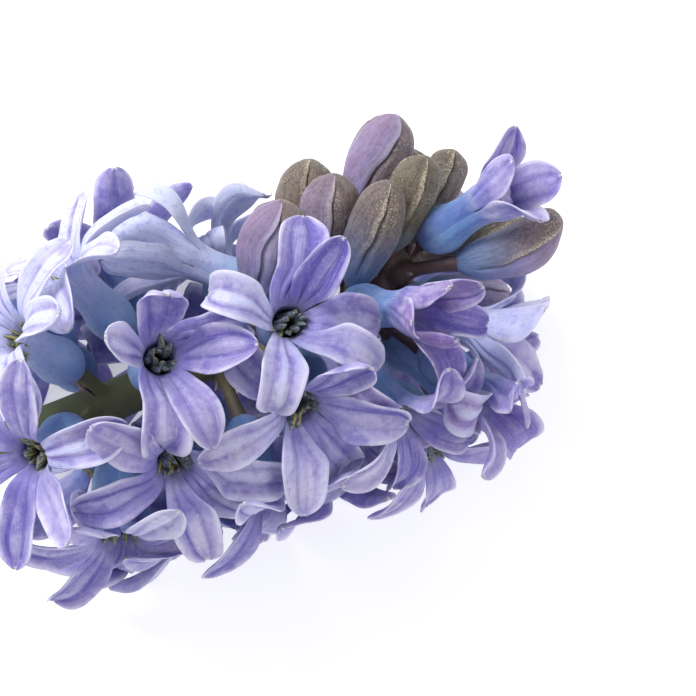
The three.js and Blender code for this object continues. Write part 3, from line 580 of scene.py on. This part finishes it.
def floret_skin(index, floret):
    """The tube and six tepals of a floret as one closed skin, on the bends that its solid has."""
    seat = Seat(floret)
    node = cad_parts[f"floret_{index + 1:02d}"]
    corners = np.array([corner.co for corner in node.data.vertices]) / MM
    back = index + 1 in BACK_FLORETS
    columns = FINE.back_columns if back else FINE.columns
    rows = FINE.back_rows if back else FINE.tepal_rows
    t = np.linspace(-1, 1, columns)
    level = np.linspace(0, 1, FINE.tube_rows)
    s = 1 - (1 - np.arange(1, rows + 1) / (rows + 0.5)) ** FINE.crowding
    length = np.concatenate([level - 1, s])
    mouth, floor = len(level) - 1, FINE.floor_row
    skin = Skin()

    outside, within, inwards = tube_walls(seat, floret["roll"], t, level)
    tube_outer, tube_inner = skin.add(outside), skin.add(within[floor:])
    for k in range(6):
        draw = np.random.RandomState(100 * index + k).uniform
        bend = bend_in_solid(corners, seat, floret, index, k)
        shape = tepal_shape(floret, index, k, bend)
        seed = draw()
        tone = tepal_tone(index, k, draw)
        rise, hollow_shade = tepal_relief(shape, s, t, draw)
        rim = rim_form(floret, index, k, bend, s, seed, draw(*RIM_FORM.blunt))
        ring = (np.arange(columns) + k * (columns - 1)) % len(inwards)
        outside, within = tepal_walls(seat, shape, s, t, rise, rim, inwards[ring])
        outer = np.vstack([tube_outer[:, ring], skin.add(outside)])
        inner = np.vstack([tube_inner[:, ring], skin.add(within)])
        marks = triples(t, length[:, None], seed)
        skin.patch(outer, marks, tone)
        inside = (1,) + tone[1:]
        # The inner face is painted deeper violet in its hollows, as painted shade
        hollow_shades = np.vstack([np.zeros((len(tube_inner), columns)), hollow_shade])[..., None]
        shaded = np.broadcast_to(inside, marks[floor:].shape) + hollow_shades * (0, HOLLOW_SHADE_DEPTH, 0)
        skin.patch(inner, marks[floor:], shaded, flip=True)
        from_outside = smooth(0.15, 0.5, length[mouth:])
        edge_tone = triples(from_outside, *tone[1:])[:, None]
        skin.join_sides(outer[mouth:], inner[mouth - floor:], marks[mouth:], edge_tone)
        skin.patch(np.stack([outer[-1], inner[-1]]), marks[[-1, -1]], inside)
    tone = TONES.get(index + 1, USUAL_TONE)
    skin.fan(tube_outer[0], seat.base, (0, -1, 0), (0, *tone), flip=True)
    skin.fan(tube_inner[0], seat.base + seat.along * (level[floor] * TUBE.length), (0, -0.6, 0), (1, *tone))
    return skin


def anther_section(angle):
    """A split pollen sac: flattened, with a deep slit and two lips along one side."""
    slit = ANTHER.slit * np.exp(-((angle - np.pi) / ANTHER.slit_width) ** 2)
    return 1 + ANTHER.flat * np.cos(2 * angle) - slit


def stamens_skin(index, floret):
    """Six stamens with pointed anthers, split in two, round a three-lobed ovary with a style."""
    seat = Seat(floret)
    chance = np.random.RandomState(900 + index)
    draw = chance.uniform
    opens = floret["tepals"][1] if floret["tepals"] else [0] * 6
    skin = Skin()
    share = np.linspace(0, 1, ANTHER.rings)
    pointed = np.sin(np.pi * np.linspace(0.08, 0.98, ANTHER.rings)) ** 0.7
    leans = chance.permutation(STAMEN.leans)
    for k in range(6):
        held = STAMEN.held if opens[k] < STAMEN.raised_tepal else 1
        azimuth = floret["roll"] + 60 * k + draw(-STAMEN.turn, STAMEN.turn)
        seed = draw()
        foot = seat.around(STAMEN.foot, STAMEN.foot_out, azimuth)
        knee = seat.around(draw(*STAMEN.knee), STAMEN.knee_out, azimuth)
        rod(skin, mix(foot, knee, np.linspace(0, 1, 4)[:, None]), STAMEN.radii, 6, seed, (1, 0, 0))
        lean = STAMEN.closed_lean if is_closed(floret) else leans[k] * held
        top = seat.around(draw(*STAMEN.top), STAMEN.top_out + STAMEN.lean_out * lean,
                          azimuth + draw(-STAMEN.top_turn, STAMEN.top_turn))
        out = seat.out(azimuth)
        aside = np.cross(seat.along, out)
        bow = ANTHER.bow * np.sin(np.pi * share)[:, None]
        curve = bow * (out * draw(-1, 1) + aside * draw(-1, 1))
        for lobe in (-1, 1):
            parted = draw(*ANTHER.parts) * held * share[:, None] ** 2
            split = (ANTHER.apart + parted) * lobe * aside
            reach = share[:, None] * draw(*ANTHER.lengths) - ANTHER.start
            radii = ANTHER.radius * pointed * draw(*ANTHER.sizes)
            radii = radii * (1 + ANTHER.lump * np.sin(ANTHER.lumps * share + draw(0, 6)))
            path = mix(knee, top, reach) + curve + split
            rod(skin, path, radii, ANTHER.sides, seed, section=anther_section)
    axis = seat.base + PISTIL.heights[:, None] * seat.along
    rod(skin, axis, PISTIL.radii, PISTIL.sides, 0.5, (0, 1, 0),
        lambda angle: 1 + PISTIL.lobe * np.cos(3 * angle))
    return skin


# Buds

def bud_skin(index, bud):
    """A closed bud: three outer tepals, each folded over the next at one margin, and strips of inner ones."""
    seat = Seat(bud)
    draw = np.random.RandomState(300 + index).uniform
    form, level, outer, inner = BUD_RELIEF, BUD_ROWS[:, None], BUD_ACROSS, BUD_STRIP
    length = BUD.length * bud["size"]
    strip = bud["strip"] / 2 * smooth(0.15, 0.4, level) * (1 - smooth(0.72, 0.93, level))
    shown = np.maximum(form.seam, strip)
    folded = smooth(0.12, 0.42, level)
    crease = 2.2 * np.sin(9 * level + draw(0, 6)) + 1.3 * np.sin(24 * level + draw(0, 6))
    first = seat.looks_up() + bud["seam"] + bud["turn"] * (level - 0.6) + crease * folded
    angles, rises, marks, tones = [], [], [], []

    def band(left, right, across, rise, mark, violet):
        """One band of the bud's skin, from its foot to its tip."""
        angles.append(mix(left, right, across))
        rises.append(folded * rise)
        marks.append(triples(*mark))
        tones.append(np.broadcast_to((violet, bud["blue"], bud["olive"]), marks[-1].shape))

    for k in range(3):
        left, right = first + 120 * k + shown, first + 120 * (k + 1) - shown
        crown = form.crown * (1 - (2 * outer - 1) ** 4)
        ridge = bud["keel"] * np.maximum(0, 1 - np.abs(outer - draw(0.35, 0.65)) / 0.36)
        over = form.over * smooth(0.8, 0.97, outer) - form.under * (1 - smooth(0, 0.1, outer))
        ripple = np.sin(form.wrinkles * outer + draw(0, 6) + 5 * level)
        rise = crown + ridge + over + form.wrinkle * ripple * (2 * outer - 1) ** 2
        band(left, right, outer, rise, (2 * outer - 1, level, k + draw()), bud["violet"][k])
        arch = np.sin(np.pi * inner)
        rise = form.strip + form.strip_crown * np.minimum(1, shown / 8) * arch
        into = 1 + 0.3 * np.minimum(1, shown / 6) * arch
        band(right, right + 2 * shown, inner, rise, (into, level, k), 0.7 * bud["violet"][k] + 0.3)
    angle = np.hstack(angles)
    rib = form.rib * np.cos(np.radians(form.ribs * angle) + index) * smooth(0.1, 0.3, level)
    lumps = form.lump * np.sin(np.radians(2 * angle) + 7 * level + index) * folded
    rise = (np.hstack(rises) + rib + lumps) * smooth(0, 0.12, 1 - level)
    radius = BUD.radius * bud["fat"] * spline(level, BUD_LEVELS, BUD_WIDTHS) + rise
    points = seat.around(level * length, radius, angle) + np.array(bud["bow"]) * (level ** 2)[..., None]
    points[..., 2] = above_table(points[..., 2])
    skin = Skin()
    numbers = skin.add(points)
    marks, tones = np.hstack(marks), np.hstack(tones)
    skin.patch(*(np.hstack([values, values[:, :1]]) for values in (numbers, marks, tones)))
    skin.fan(numbers[0], seat.base, (0, 0, 0), tones[0, 0], flip=True)
    skin.fan(numbers[-1], seat.base + seat.along * length + bud["bow"], (0, 1, 0), tones[0, 0])
    return skin


# Stem

def pedicel_path(bloom):
    """The curve from the stem's axis to just inside the foot of a floret or bud."""
    seat = Seat(bloom)
    reach = np.linalg.norm(seat.base - seat.root)
    end = seat.base + seat.along * PEDICEL.into
    straight = PEDICEL.gap + PEDICEL.straight * reach
    bend = mix(seat.base - seat.along * straight, seat.root, PEDICEL.pull)
    share = np.linspace(0, 1, PEDICEL.points)[:, None]
    return (1 - share) ** 2 * seat.root + 2 * share * (1 - share) * bend + share ** 2 * end


def stem_rods():
    """The stem and its pedicels as rods that run into each other."""
    skin = Skin()
    stations = np.linspace(STEM.cut, STEM.top + 1.2, STEM_SKIN.rows)
    radii = stem_radius(stations)
    radii[-len(STEM_TIP):] *= STEM_TIP
    rod(skin, stem_point(stations), radii, STEM_SKIN.sides,
        section=lambda angle: 1 + STEM_SKIN.rib * np.cos(STEM_SKIN.ribs * angle))
    share = np.linspace(0, 1, PEDICEL.points)
    swollen = PEDICEL.root * (1 - smooth(0.2, 0.55, share)) + PEDICEL.end * smooth(0.8, 1, share)
    for bloom in FLORETS + BUDS:
        rod(skin, pedicel_path(bloom), PEDICEL.radius + swollen, PEDICEL.sides)
    return skin.mesh("stem_rods")


def add_stem():
    """The stem with its pedicels, grown together as one skin. Its marks are the station, the distance from
    the stem's own skin, and how near the cut face a point is."""
    rods = in_scene("stem_rods", stem_rods())
    grown = rods.modifiers.new("grown together", "REMESH")
    grown.mode = "VOXEL"
    grown.voxel_size = STEM_SKIN.voxel * MM
    softened = rods.modifiers.new("softened", "SMOOTH")
    softened.iterations = STEM_SKIN.softenings
    graph = bpy.context.evaluated_depsgraph_get()
    mesh = bpy.data.meshes.new_from_object(rods.evaluated_get(graph))
    bpy.data.objects.remove(rods)
    mesh.name = "stem_skin"
    points = np.empty(3 * len(mesh.vertices))
    mesh.vertices.foreach_get("co", points)
    points = points.reshape(-1, 3) / MM
    station = points[:, 0] - HEAD[0]
    axis = stem_point(np.clip(station, STEM.cut, STEM.top))
    away = np.linalg.norm((points - axis)[:, 1:], axis=1) - stem_radius(station)
    cut_end, past_cut = stem_point([STEM.cut, STEM.cut + 2])
    cut = np.clip(1.1 - (points - cut_end) @ unit(past_cut - cut_end) / STEM_SKIN.cut_edge, 0, 1)
    write_marks(mesh, "marks", "POINT", np.stack([station, away, cut], -1))
    place_piece("stem_skin", mesh, stem_look(), "stem", "stem")


def bracts_skin():
    """The small papery bract under each pedicel."""
    skin = Skin()
    s, t = np.linspace(0, 1, 8)[:, None], np.linspace(-1, 1, 7)
    angle = t * BRACT.wrap
    half = BRACT.half * (1 - s ** BRACT.taper) + BRACT.tip
    across = (half * np.sin(angle) / BRACT.half_sine)[..., None]
    thick = BRACT.thick * (1 - 0.5 * s)[..., None]
    for number, bloom in enumerate(FLORETS + BUDS):
        draw = np.random.RandomState(600 + number).uniform
        path = pedicel_path(bloom)
        reach = np.linalg.norm(path - Seat(bloom).root, axis=1)
        start = int(np.argmax(reach > stem_radius(bloom["at"]) - BRACT.sunk))
        forward = unit(path[start + 3] - path[start])
        down = unit(np.array([-1.0, 0, 0]) + forward * forward[0])
        length = draw(*BRACT.lengths)
        flare = BRACT.out + BRACT.flare * s ** 2 * draw(0.3, 1)
        middle = (path[start] + forward * (length * s)[..., None] + down * (flare * np.cos(angle))[..., None]
                  + np.cross(forward, down) * across)
        normal = unit(np.cross(np.gradient(middle, axis=0), np.gradient(middle, axis=1)))
        outer, inner = skin.add(middle - normal * thick), skin.add(middle + normal * thick)
        marks = triples(t, s, draw())
        skin.patch(outer, marks)
        skin.patch(inner, marks, flip=True)
        skin.join_sides(outer, inner, marks)
        skin.patch(np.stack([outer[-1], inner[-1]]), marks[[-1, -1]])
        skin.patch(np.stack([inner[0], outer[0]]), marks[[0, 0]])
    return skin


# Looks

def colour(*screen):
    """A screen colour as the linear one that a shader takes."""
    shares = [part / 255 for part in screen]
    linear = [c / 12.92 if c <= 0.04045 else ((c + 0.055) / 1.055) ** 2.4 for c in shares]
    return (*linear, 1.0)


class Look:
    """A material under construction. As a factor, (value, low, high, start, end) stands for a soft step."""

    def __init__(self, name, **finish):
        self.material = bpy.data.materials.new(name)
        self.material.use_nodes = True
        self.tree = self.material.node_tree
        self.shader = self.tree.nodes["Principled BSDF"]
        self.feed(self.shader, {socket.replace("_", " "): value for socket, value in finish.items()})

    def feed(self, node, values):
        """Links or sets inputs of a node, by their names or numbers."""
        for socket, value in values.items():
            if isinstance(value, bpy.types.NodeSocket):
                self.tree.links.new(value, node.inputs[socket])
            else:
                node.inputs[socket].default_value = value

    def node(self, kind, values, **settings):
        made = self.tree.nodes.new("ShaderNode" + kind)
        for setting, value in settings.items():
            setattr(made, setting, value)
        self.feed(made, values)
        return made

    def read(self, name):
        """The three numbers of one of the piece's own sets of marks."""
        marks = self.node("Attribute", {}, attribute_name=name).outputs["Vector"]
        return list(self.node("SeparateXYZ", {0: marks}).outputs)

    def math(self, operation, *values):
        return self.node("Math", dict(enumerate(values)), operation=operation).outputs[0]

    def scaled(self, value, factor, added=0.0):
        return self.math("MULTIPLY_ADD", value, factor, added)

    def vector(self, *values):
        return self.node("CombineXYZ", dict(enumerate(values))).outputs[0]

    def steps(self, value, low, high, start=0.0, end=1.0):
        """A soft step from start to end while value goes from low to high."""
        values = dict(enumerate((value, low, high, start, end)))
        return self.node("MapRange", values, interpolation_type="SMOOTHSTEP").outputs[0]

    def product(self, *factors):
        first, *others = [self.steps(*factor) if isinstance(factor, tuple) else factor for factor in factors]
        for other in others:
            first = self.math("MULTIPLY", first, other)
        return first

    def mix(self, share, one, other):
        made = self.node("Mix", {"Factor": share}, data_type="RGBA")
        inputs, outputs = ([i for i, socket in enumerate(side) if socket.type == "RGBA"]
                           for side in (made.inputs, made.outputs))
        self.feed(made, dict(zip(inputs, (one, other))))
        return made.outputs[outputs[0]]

    def coats(self, paint, *coats):
        """The paint under coats of (colour, factors), each as thick as the product of its factors."""
        for coat, *factors in coats:
            paint = self.mix(self.product(*factors), paint, coat)
        return paint

    def ramp(self, value, stops):
        """A colour for each value, through a few stops of (value, colour)."""
        made = self.node("ValToRGB", {0: value})
        band = made.color_ramp
        band.interpolation = "B_SPLINE"
        while len(band.elements) < len(stops):
            band.elements.new(0.5)
        for element, (place, paint) in zip(band.elements, stops):
            element.position = place
        for element, (place, paint) in zip(band.elements, stops):
            element.color = paint
        return made.outputs[0]

    def noise(self, scale, detail=3.0, rough=0.5, place=None):
        """Noise at a place, or else in patches of which scale go to a metre of the flower."""
        place = place or self.node("TexCoord", {}).outputs["Object"]
        values = dict(Vector=place, Scale=scale, Detail=detail, Roughness=rough)
        return self.node("TexNoise", values).outputs[0]

    def finish(self, paint, roughness, *layers):
        """The finished material, with layers of (height, depth in millimetres, strength) as fine relief."""
        relief = {}
        for height, depth, strength in layers:
            bump = self.node("Bump", dict(Height=height, Distance=depth * MM, Strength=strength, **relief))
            relief["Normal"] = bump.outputs[0]
        self.feed(self.shader, {"Base Color": paint, "Roughness": roughness, **relief})
        return self.material


# Petals
# Whiter tips, and partly painted glints in the fine specks
WHITE_TIP_AND_GLINT = colour(232, 230, 244)
# Partly the tepals' own pale margin, partly a painted highlight along the rolled edge
PALE_MARGIN_AND_HIGHLIGHT = colour(216, 212, 238)
PALE = colour(220, 216, 234)
# Painted light: the palest tepals are washed out by it, and the florets below 0 to near white
LIGHT_WASHED_PALE = colour(206, 212, 244)
LIGHT_WASHED_WHITE = colour(220, 228, 255)
LAVENDER = colour(188, 182, 217)
VIOLET = colour(142, 134, 202)
DEEP_VIOLET = colour(98, 86, 172)
THROAT = colour(132, 126, 182)
BLUE = colour(132, 156, 216)
PALE_BLUE = colour(160, 160, 218)
RIB_BLUE = colour(100, 122, 196)
DEEP_BLUE = colour(78, 108, 180)
TUBE_BLUE = colour(102, 142, 200)
TEAL = colour(102, 152, 192)
MAUVE = colour(156, 116, 178)
DARK_MAUVE = colour(118, 78, 144)
INNER_STOPS = [(0, TUBE_BLUE), (0.4, THROAT), (0.5, THROAT), (0.6, VIOLET), (0.74, LAVENDER), (0.9, PALE),
               (1, LAVENDER)]
OUTER_STOPS = [(0, TUBE_BLUE), (0.2, TEAL), (0.42, TUBE_BLUE), (0.55, BLUE), (0.7, PALE_BLUE), (1, LAVENDER)]

# Stamens
SLATE = colour(58, 66, 80)
PALE_SLATE = colour(128, 138, 146)
POLLEN = colour(186, 176, 96)
FILAMENT = colour(150, 150, 200)
OVARY = colour(120, 150, 120)

# Buds
MAUVE_BROWN = colour(138, 118, 118)
BROWN = colour(60, 52, 50)
OLIVE = colour(120, 112, 92)
GREY_GREEN = colour(98, 120, 114)
FOOT_BLUE = colour(96, 128, 178)
BUD_LILAC = colour(158, 146, 194)
BUD_VIOLET = colour(144, 126, 166)
BUD_FLUSH = colour(142, 118, 152)
BUD_DUST = colour(206, 192, 166)
SEAM = colour(44, 32, 38)

# Stem, from its cut to its top, and bracts, from foot to tip
STEM_STOPS = [(0, colour(120, 148, 84)), (0.35, colour(112, 134, 76)), (0.62, colour(104, 104, 66)),
              (0.78, colour(84, 68, 58)), (0.86, colour(70, 48, 50)), (1, colour(78, 52, 54))]
STEM_BROWN = colour(96, 84, 70)
PEDICEL_MAUVE = colour(92, 74, 78)
STEM_FLECK = colour(150, 140, 110)
PITH = colour(196, 206, 150)
DARK_PITH = colour(150, 172, 100)
FIBRE = colour(226, 228, 190)
RIND = colour(108, 134, 74)
BRACT_STOPS = [(0, colour(84, 64, 64)), (0.6, colour(116, 92, 94)), (1, colour(186, 170, 168))]
BRACT_MARGIN = colour(176, 158, 158)
BRACT_VEIN = colour(86, 62, 70)

# Floor
FLOOR_GREY = colour(248, 248, 249)
FLOOR_WHITE = colour(252, 252, 253)


def petal_look():
    """Waxy, slightly see-through petals: a blue tube, lavender inside, violet hollows of painted shade, a rim
    partly painted highlight.
    """
    look = Look("petal", Subsurface_Weight=0.3, Subsurface_Scale=1.4 * MM, Subsurface_Radius=(0.8, 0.7, 1),
                Sheen_Weight=0.1, Specular_IOR_Level=0.45)
    t, u, seed = look.read("marks")
    inside, deep, pink = look.read("tone")
    edge = look.math("ABSOLUTE", t)
    strand = look.vector(look.scaled(seed, 31, look.product(t, 5.5)), look.product(u, 1.6),
                         look.product(seed, 17))
    veins = look.noise(2.2, 4, 0.65, strand)
    cloud = look.noise(210, 3, 0.6)
    mottle = look.noise(900, 3, 0.6)
    cells = look.noise(3400, 2, 0.6)
    on_tepal = look.steps(u, 0.05, 0.5)
    length = look.scaled(u, 0.5, 0.5)
    outer = look.coats(
        look.ramp(length, OUTER_STOPS),
        (RIB_BLUE, (edge, 0, 0.34, 0.5, 0), (u, 0.2, 0.9, 1, 0.4)),
        (DEEP_BLUE, (deep, 0.4, 0.9), (u, -0.1, 0.15, 0.75, 0)))
    paint = look.coats(
        look.mix(inside, outer, look.ramp(length, INNER_STOPS)),
        (MAUVE, pink, (u, -0.1, 0.7)),
        (DARK_MAUVE, (pink, 0.4, 0.8, 0, 0.75), (u, 0.55, 1)),
        (PALE, (cloud, 0.42, 0.72, 0, 0.55), (u, -0.4, 0.3, 0.3, 1)),
        # On the inner face, deep also carries the painted shade of the hollows
        (DEEP_VIOLET, (cloud, 0.32, 0.5, 0.6, 0), (u, 0, 0.4), (deep, 0, 0.4, 0.2, 1)),
        # Painted light: tepals of low depth are painted paler, and those below 0 near white, washed out by
        # bright light
        (LIGHT_WASHED_PALE, (deep, 0.02, 0.25, 1, 0), (u, -0.7, 0.25, 0.2, 0.72)),
        (LIGHT_WASHED_WHITE, (deep, -0.3, 0, 1, 0), (u, -0.35, 0.6, 0, 0.9), (inside, 0, 1, 1, 0.4)),
        (DEEP_VIOLET, look.math("MAXIMUM", deep, 0), (veins, 0.3, 0.62, 0.68, 1),
         look.scaled(inside, 0.4, 0.48), (u, 0, 0.3)),
        (VIOLET, (veins, 0.3, 0.56, 0.26, 0)),
        (DEEP_VIOLET, (mottle, 0.52, 0.7, 0, 0.3)),
        # White specks: the petals' fine grain, partly painted glints of their sparkle
        (WHITE_TIP_AND_GLINT, on_tepal, (mottle, 0.3, 0.46, 0.15, 0)),
        (WHITE_TIP_AND_GLINT, on_tepal, (cells, 0.3, 0.46, 0.12, 0)),
        # Paler margins: partly the tepals' own pale margin, partly a painted highlight along the rolled edge
        (PALE_MARGIN_AND_HIGHLIGHT, (edge, 0.76, 0.98), (u, 0.2, 0.45), (cloud, 0.36, 0.62, 0.15, 0.75)),
        (WHITE_TIP_AND_GLINT, (u, 0.95, 1), (edge, 0.2, 0.7, 0.8, 0)))
    return look.finish(paint, look.steps(veins, 0.2, 0.8, 0.38, 0.55),
                       (veins, 0.36, 0.6), (mottle, 0.1, 0.4), (cells, 0.04, 0.4))


def stamen_look():
    """Slate anthers with yellow-green pollen on their split edges, pale filaments and a green ovary."""
    look = Look("stamen", Specular_IOR_Level=0.5)
    turn = look.read("marks")[0]
    filament, ovary, _ = look.read("tone")
    off_slit = look.math("ABSOLUTE", look.math("SUBTRACT", turn, 0.5))
    dust = look.noise(1900, 3, 0.7)
    paint = look.coats(
        SLATE,
        (PALE_SLATE, (dust, 0.35, 0.65)),
        (POLLEN, (off_slit, 0.03, 0.09), (off_slit, 0.14, 0.26, 1, 0), (dust, 0.32, 0.52)),
        (FILAMENT, filament),
        (OVARY, ovary))
    return look.finish(paint, 0.62, (dust, 0.14, 0.6))


def bud_look():
    """Leathery buds: a blue-green foot, then violet, mauve-brown or olive, dark seams, dusty margins, painted
    shade in the grooves.
    """
    look = Look("bud", Subsurface_Weight=0.06, Subsurface_Scale=0.8 * MM, Sheen_Weight=0.1,
                Specular_IOR_Level=0.35)
    t, level, seed = look.read("marks")
    violet, blue, olive = look.read("tone")
    edge = look.math("ABSOLUTE", t)
    strand = look.vector(look.scaled(seed, 13, look.product(t, 5)), look.product(level, 2.4), seed)
    veins = look.noise(2.4, 4, 0.6, strand)
    cloud = look.noise(260)
    mottle = look.noise(1100, 3, 0.6)
    grain = look.noise(3000, 3, 0.65)
    plain = look.scaled(violet, -0.55, 1)
    lilac = look.mix(look.steps(level, 0.55, 0.95), BUD_LILAC, BUD_VIOLET)
    foot = look.mix(blue, GREY_GREEN, FOOT_BLUE)
    foot_end = look.scaled(blue, 0.58, 0.38)
    paint = look.coats(
        look.mix(olive, MAUVE_BROWN, OLIVE),
        (BROWN, cloud, (level, 0.4, 1, 0.35, 0.8)),
        (lilac, violet, (cloud, 0.3, 0.6, 0.7, 1)),
        (BUD_FLUSH, violet, (edge, 0.25, 0.8, 1, 0.1), (cloud, 0.34, 0.6, 0.15, 0.8)),
        (BROWN, plain, (mottle, 0.46, 0.68, 0, 0.5)),
        (foot, (look.scaled(veins, 0.3, level), 0.1, foot_end, 1, 0), 0.9),
        (SEAM, (edge, 0.97, 1), (edge, 1.04, 1.16, 1, 0), (level, 0.3, 0.45, 0, 0.85)),
        (BUD_DUST, (t, 0.7, 0.95), (level, 0.3, 0.55), (grain, 0.42, 0.54, 0.1, 0.85),
         look.scaled(violet, -0.6, 1)),
        (LAVENDER, (t, 0.72, 0.93, 0, 0.5), (level, 0.3, 0.6), violet),
        (BUD_DUST, (grain, 0.5, 0.62), (level, 0.35, 0.8, 0.1, 0.75), look.scaled(violet, -0.85, 1),
         (cloud, 0.4, 0.62, 0.25, 1)),
        # Painted shade: darker brown along the grooves of the vein relief
        (BROWN, plain, (veins, 0.25, 0.6, 0.55, 0)))
    return look.finish(paint, look.steps(grain, 0.3, 0.7, 0.48, 0.66),
                       (veins, 0.35, 0.6), (mottle, 0.12, 0.4), (grain, 0.1, 0.6))


def stem_look():
    """A fleshy stem: green at the cut, olive through the flowers and dark purple-brown under the buds."""
    look = Look("stem", Subsurface_Weight=0.08, Subsurface_Scale=1 * MM, Specular_IOR_Level=0.4)
    station, away, cut = look.read("marks")
    along = look.scaled(station, 1 / 180, 150 / 180)
    streak = look.noise(6, place=look.vector(look.product(station, 0.02), look.product(away, 0.9), along))
    cloud = look.noise(240)
    grain = look.noise(3200)
    pith = look.coats(
        look.mix(grain, PITH, DARK_PITH),
        (FIBRE, (look.noise(1300, 2), 0.54, 0.66, 0, 0.7)),
        (RIND, (away, -1.2, -0.5, 0, 0.8)))
    paint = look.coats(
        look.ramp(along, STEM_STOPS),
        (STEM_BROWN, (cloud, 0.4, 0.7, 0, 0.4)),
        (PEDICEL_MAUVE, (away, 1, 7, 0, 0.35)),
        (STEM_FLECK, (grain, 0.58, 0.75, 0, 0.4)),
        (pith, cut))
    return look.finish(paint, look.steps(cloud, 0.3, 0.7, 0.42, 0.6), (streak, 0.2, 0.4), (grain, 0.07, 0.45))


def bract_look():
    """Thin papery bracts, brown with pale margins and tips."""
    look = Look("bract", Subsurface_Weight=0.2, Subsurface_Scale=0.6 * MM)
    t, level, seed = look.read("marks")
    veins = look.noise(2, place=look.vector(look.product(t, 6), level, look.product(seed, 20)))
    paint = look.coats(
        look.ramp(level, BRACT_STOPS),
        (BRACT_MARGIN, (look.math("ABSOLUTE", t), 0.7, 1, 0, 0.6)),
        (BRACT_VEIN, (veins, 0.35, 0.6, 0.5, 0)))
    return look.finish(paint, 0.6, (veins, 0.1, 0.5))


def floor_look():
    """A bright matt table that glows a little, as over a light box, so that shadows on it stay pale."""
    look = Look("floor", Emission_Strength=0.35, Emission_Color=(1, 1, 1, 1))
    tooth = look.noise(900, 2)
    return look.finish(look.mix(tooth, FLOOR_GREY, FLOOR_WHITE), 0.8, (tooth, 0.02, 0.1))


# The scene, in metres. The camera looks straight down, and the photograph's right and up lie along these
# directions on the table.
VIEW_RIGHT = Vector((0.927, -0.375, 0.0))
VIEW_UP = Vector((0.375, 0.927, 0.0))
CAMERA = Sizes(at=Vector((51.9, -6.1, 729.0)) * MM, frame_width=126.55, distance=700.0, sensor=36.0)
FLOOR = Sizes(half_side=2.4, squares=4)
SKY = dict(Color=(0.96, 0.97, 1.0, 1.0), Strength=0.62)

# The lights' places from the flowers' middle by the photograph's right and up, sides, and power in watts
LIT_POINT = Vector((0.045, 0.0, 0.02))
LIGHTS = {"key": dict(right=-0.75, up=0.85, height=0.9, side=0.6, power=18.5),
          "fill": dict(right=0.9, up=-0.5, height=0.9, side=0.9, power=4.4)}


def add_floor():
    """A wide pale floor under the spike."""
    mesh = bpy.data.meshes.new("floor")
    count = FLOOR.squares + 1
    line = np.linspace(-FLOOR.half_side, FLOOR.half_side, count)
    points = [(x, y, 0.0) for y in line for x in line]
    quads = [(j * count + i, j * count + i + 1, (j + 1) * count + i + 1, (j + 1) * count + i)
             for j in range(count - 1) for i in range(count - 1)]
    mesh.from_pydata(points, [], quads)
    mesh.materials.append(floor_look())
    in_scene("floor", mesh)


def add_camera():
    data = bpy.data.cameras.new("camera")
    data.sensor_width = CAMERA.sensor
    data.lens = CAMERA.sensor * CAMERA.distance / CAMERA.frame_width
    camera = in_scene("camera", data)
    right, up = VIEW_RIGHT.normalized(), VIEW_UP.normalized()
    turn = Matrix((right, up, right.cross(up))).transposed()
    camera.matrix_world = Matrix.Translation(CAMERA.at) @ turn.to_4x4()
    bpy.context.scene.camera = camera


def add_lights():
    """A pale sky and soft square lights that are aimed at the flowers' middle."""
    world = bpy.data.worlds.new("studio")
    world.use_nodes = True
    for socket, value in SKY.items():
        world.node_tree.nodes["Background"].inputs[socket].default_value = value
    bpy.context.scene.world = world
    for name, light in LIGHTS.items():
        data = bpy.data.lights.new(name, "AREA")
        data.shape = "SQUARE"
        data.size = light["side"]
        data.energy = light["power"]
        lamp = in_scene(name, data)
        offset = VIEW_RIGHT * light["right"] + VIEW_UP * light["up"] + Vector((0, 0, light["height"]))
        lamp.location = LIT_POINT + offset
        lamp.rotation_euler = offset.to_track_quat("Z", "Y").to_euler()


def add_flower():
    petal, stamen, bud_paint = petal_look(), stamen_look(), bud_look()
    for index, floret in enumerate(FLORETS):
        number = f"{index + 1:02d}"
        slot = "opening_floret" if index + 1 in OPENING_FLORETS else "floret"
        floret_skin(index, floret).piece("petals_" + number, petal, slot, "floret_" + number)
        stamens_skin(index, floret).piece("stamens_" + number, stamen, slot, "floret_" + number)
    for index, bud in enumerate(BUDS):
        number = f"{index + 1:02d}"
        bud_skin(index, bud).piece("closed_bud_" + number, bud_paint, "bud", "bud_" + number)
    add_stem()
    bracts_skin().piece("bracts", bract_look(), "stem", "stem")


add_flower()
add_floor()
add_camera()
add_lights()
bpy.context.scene.view_settings.view_transform = "Standard"
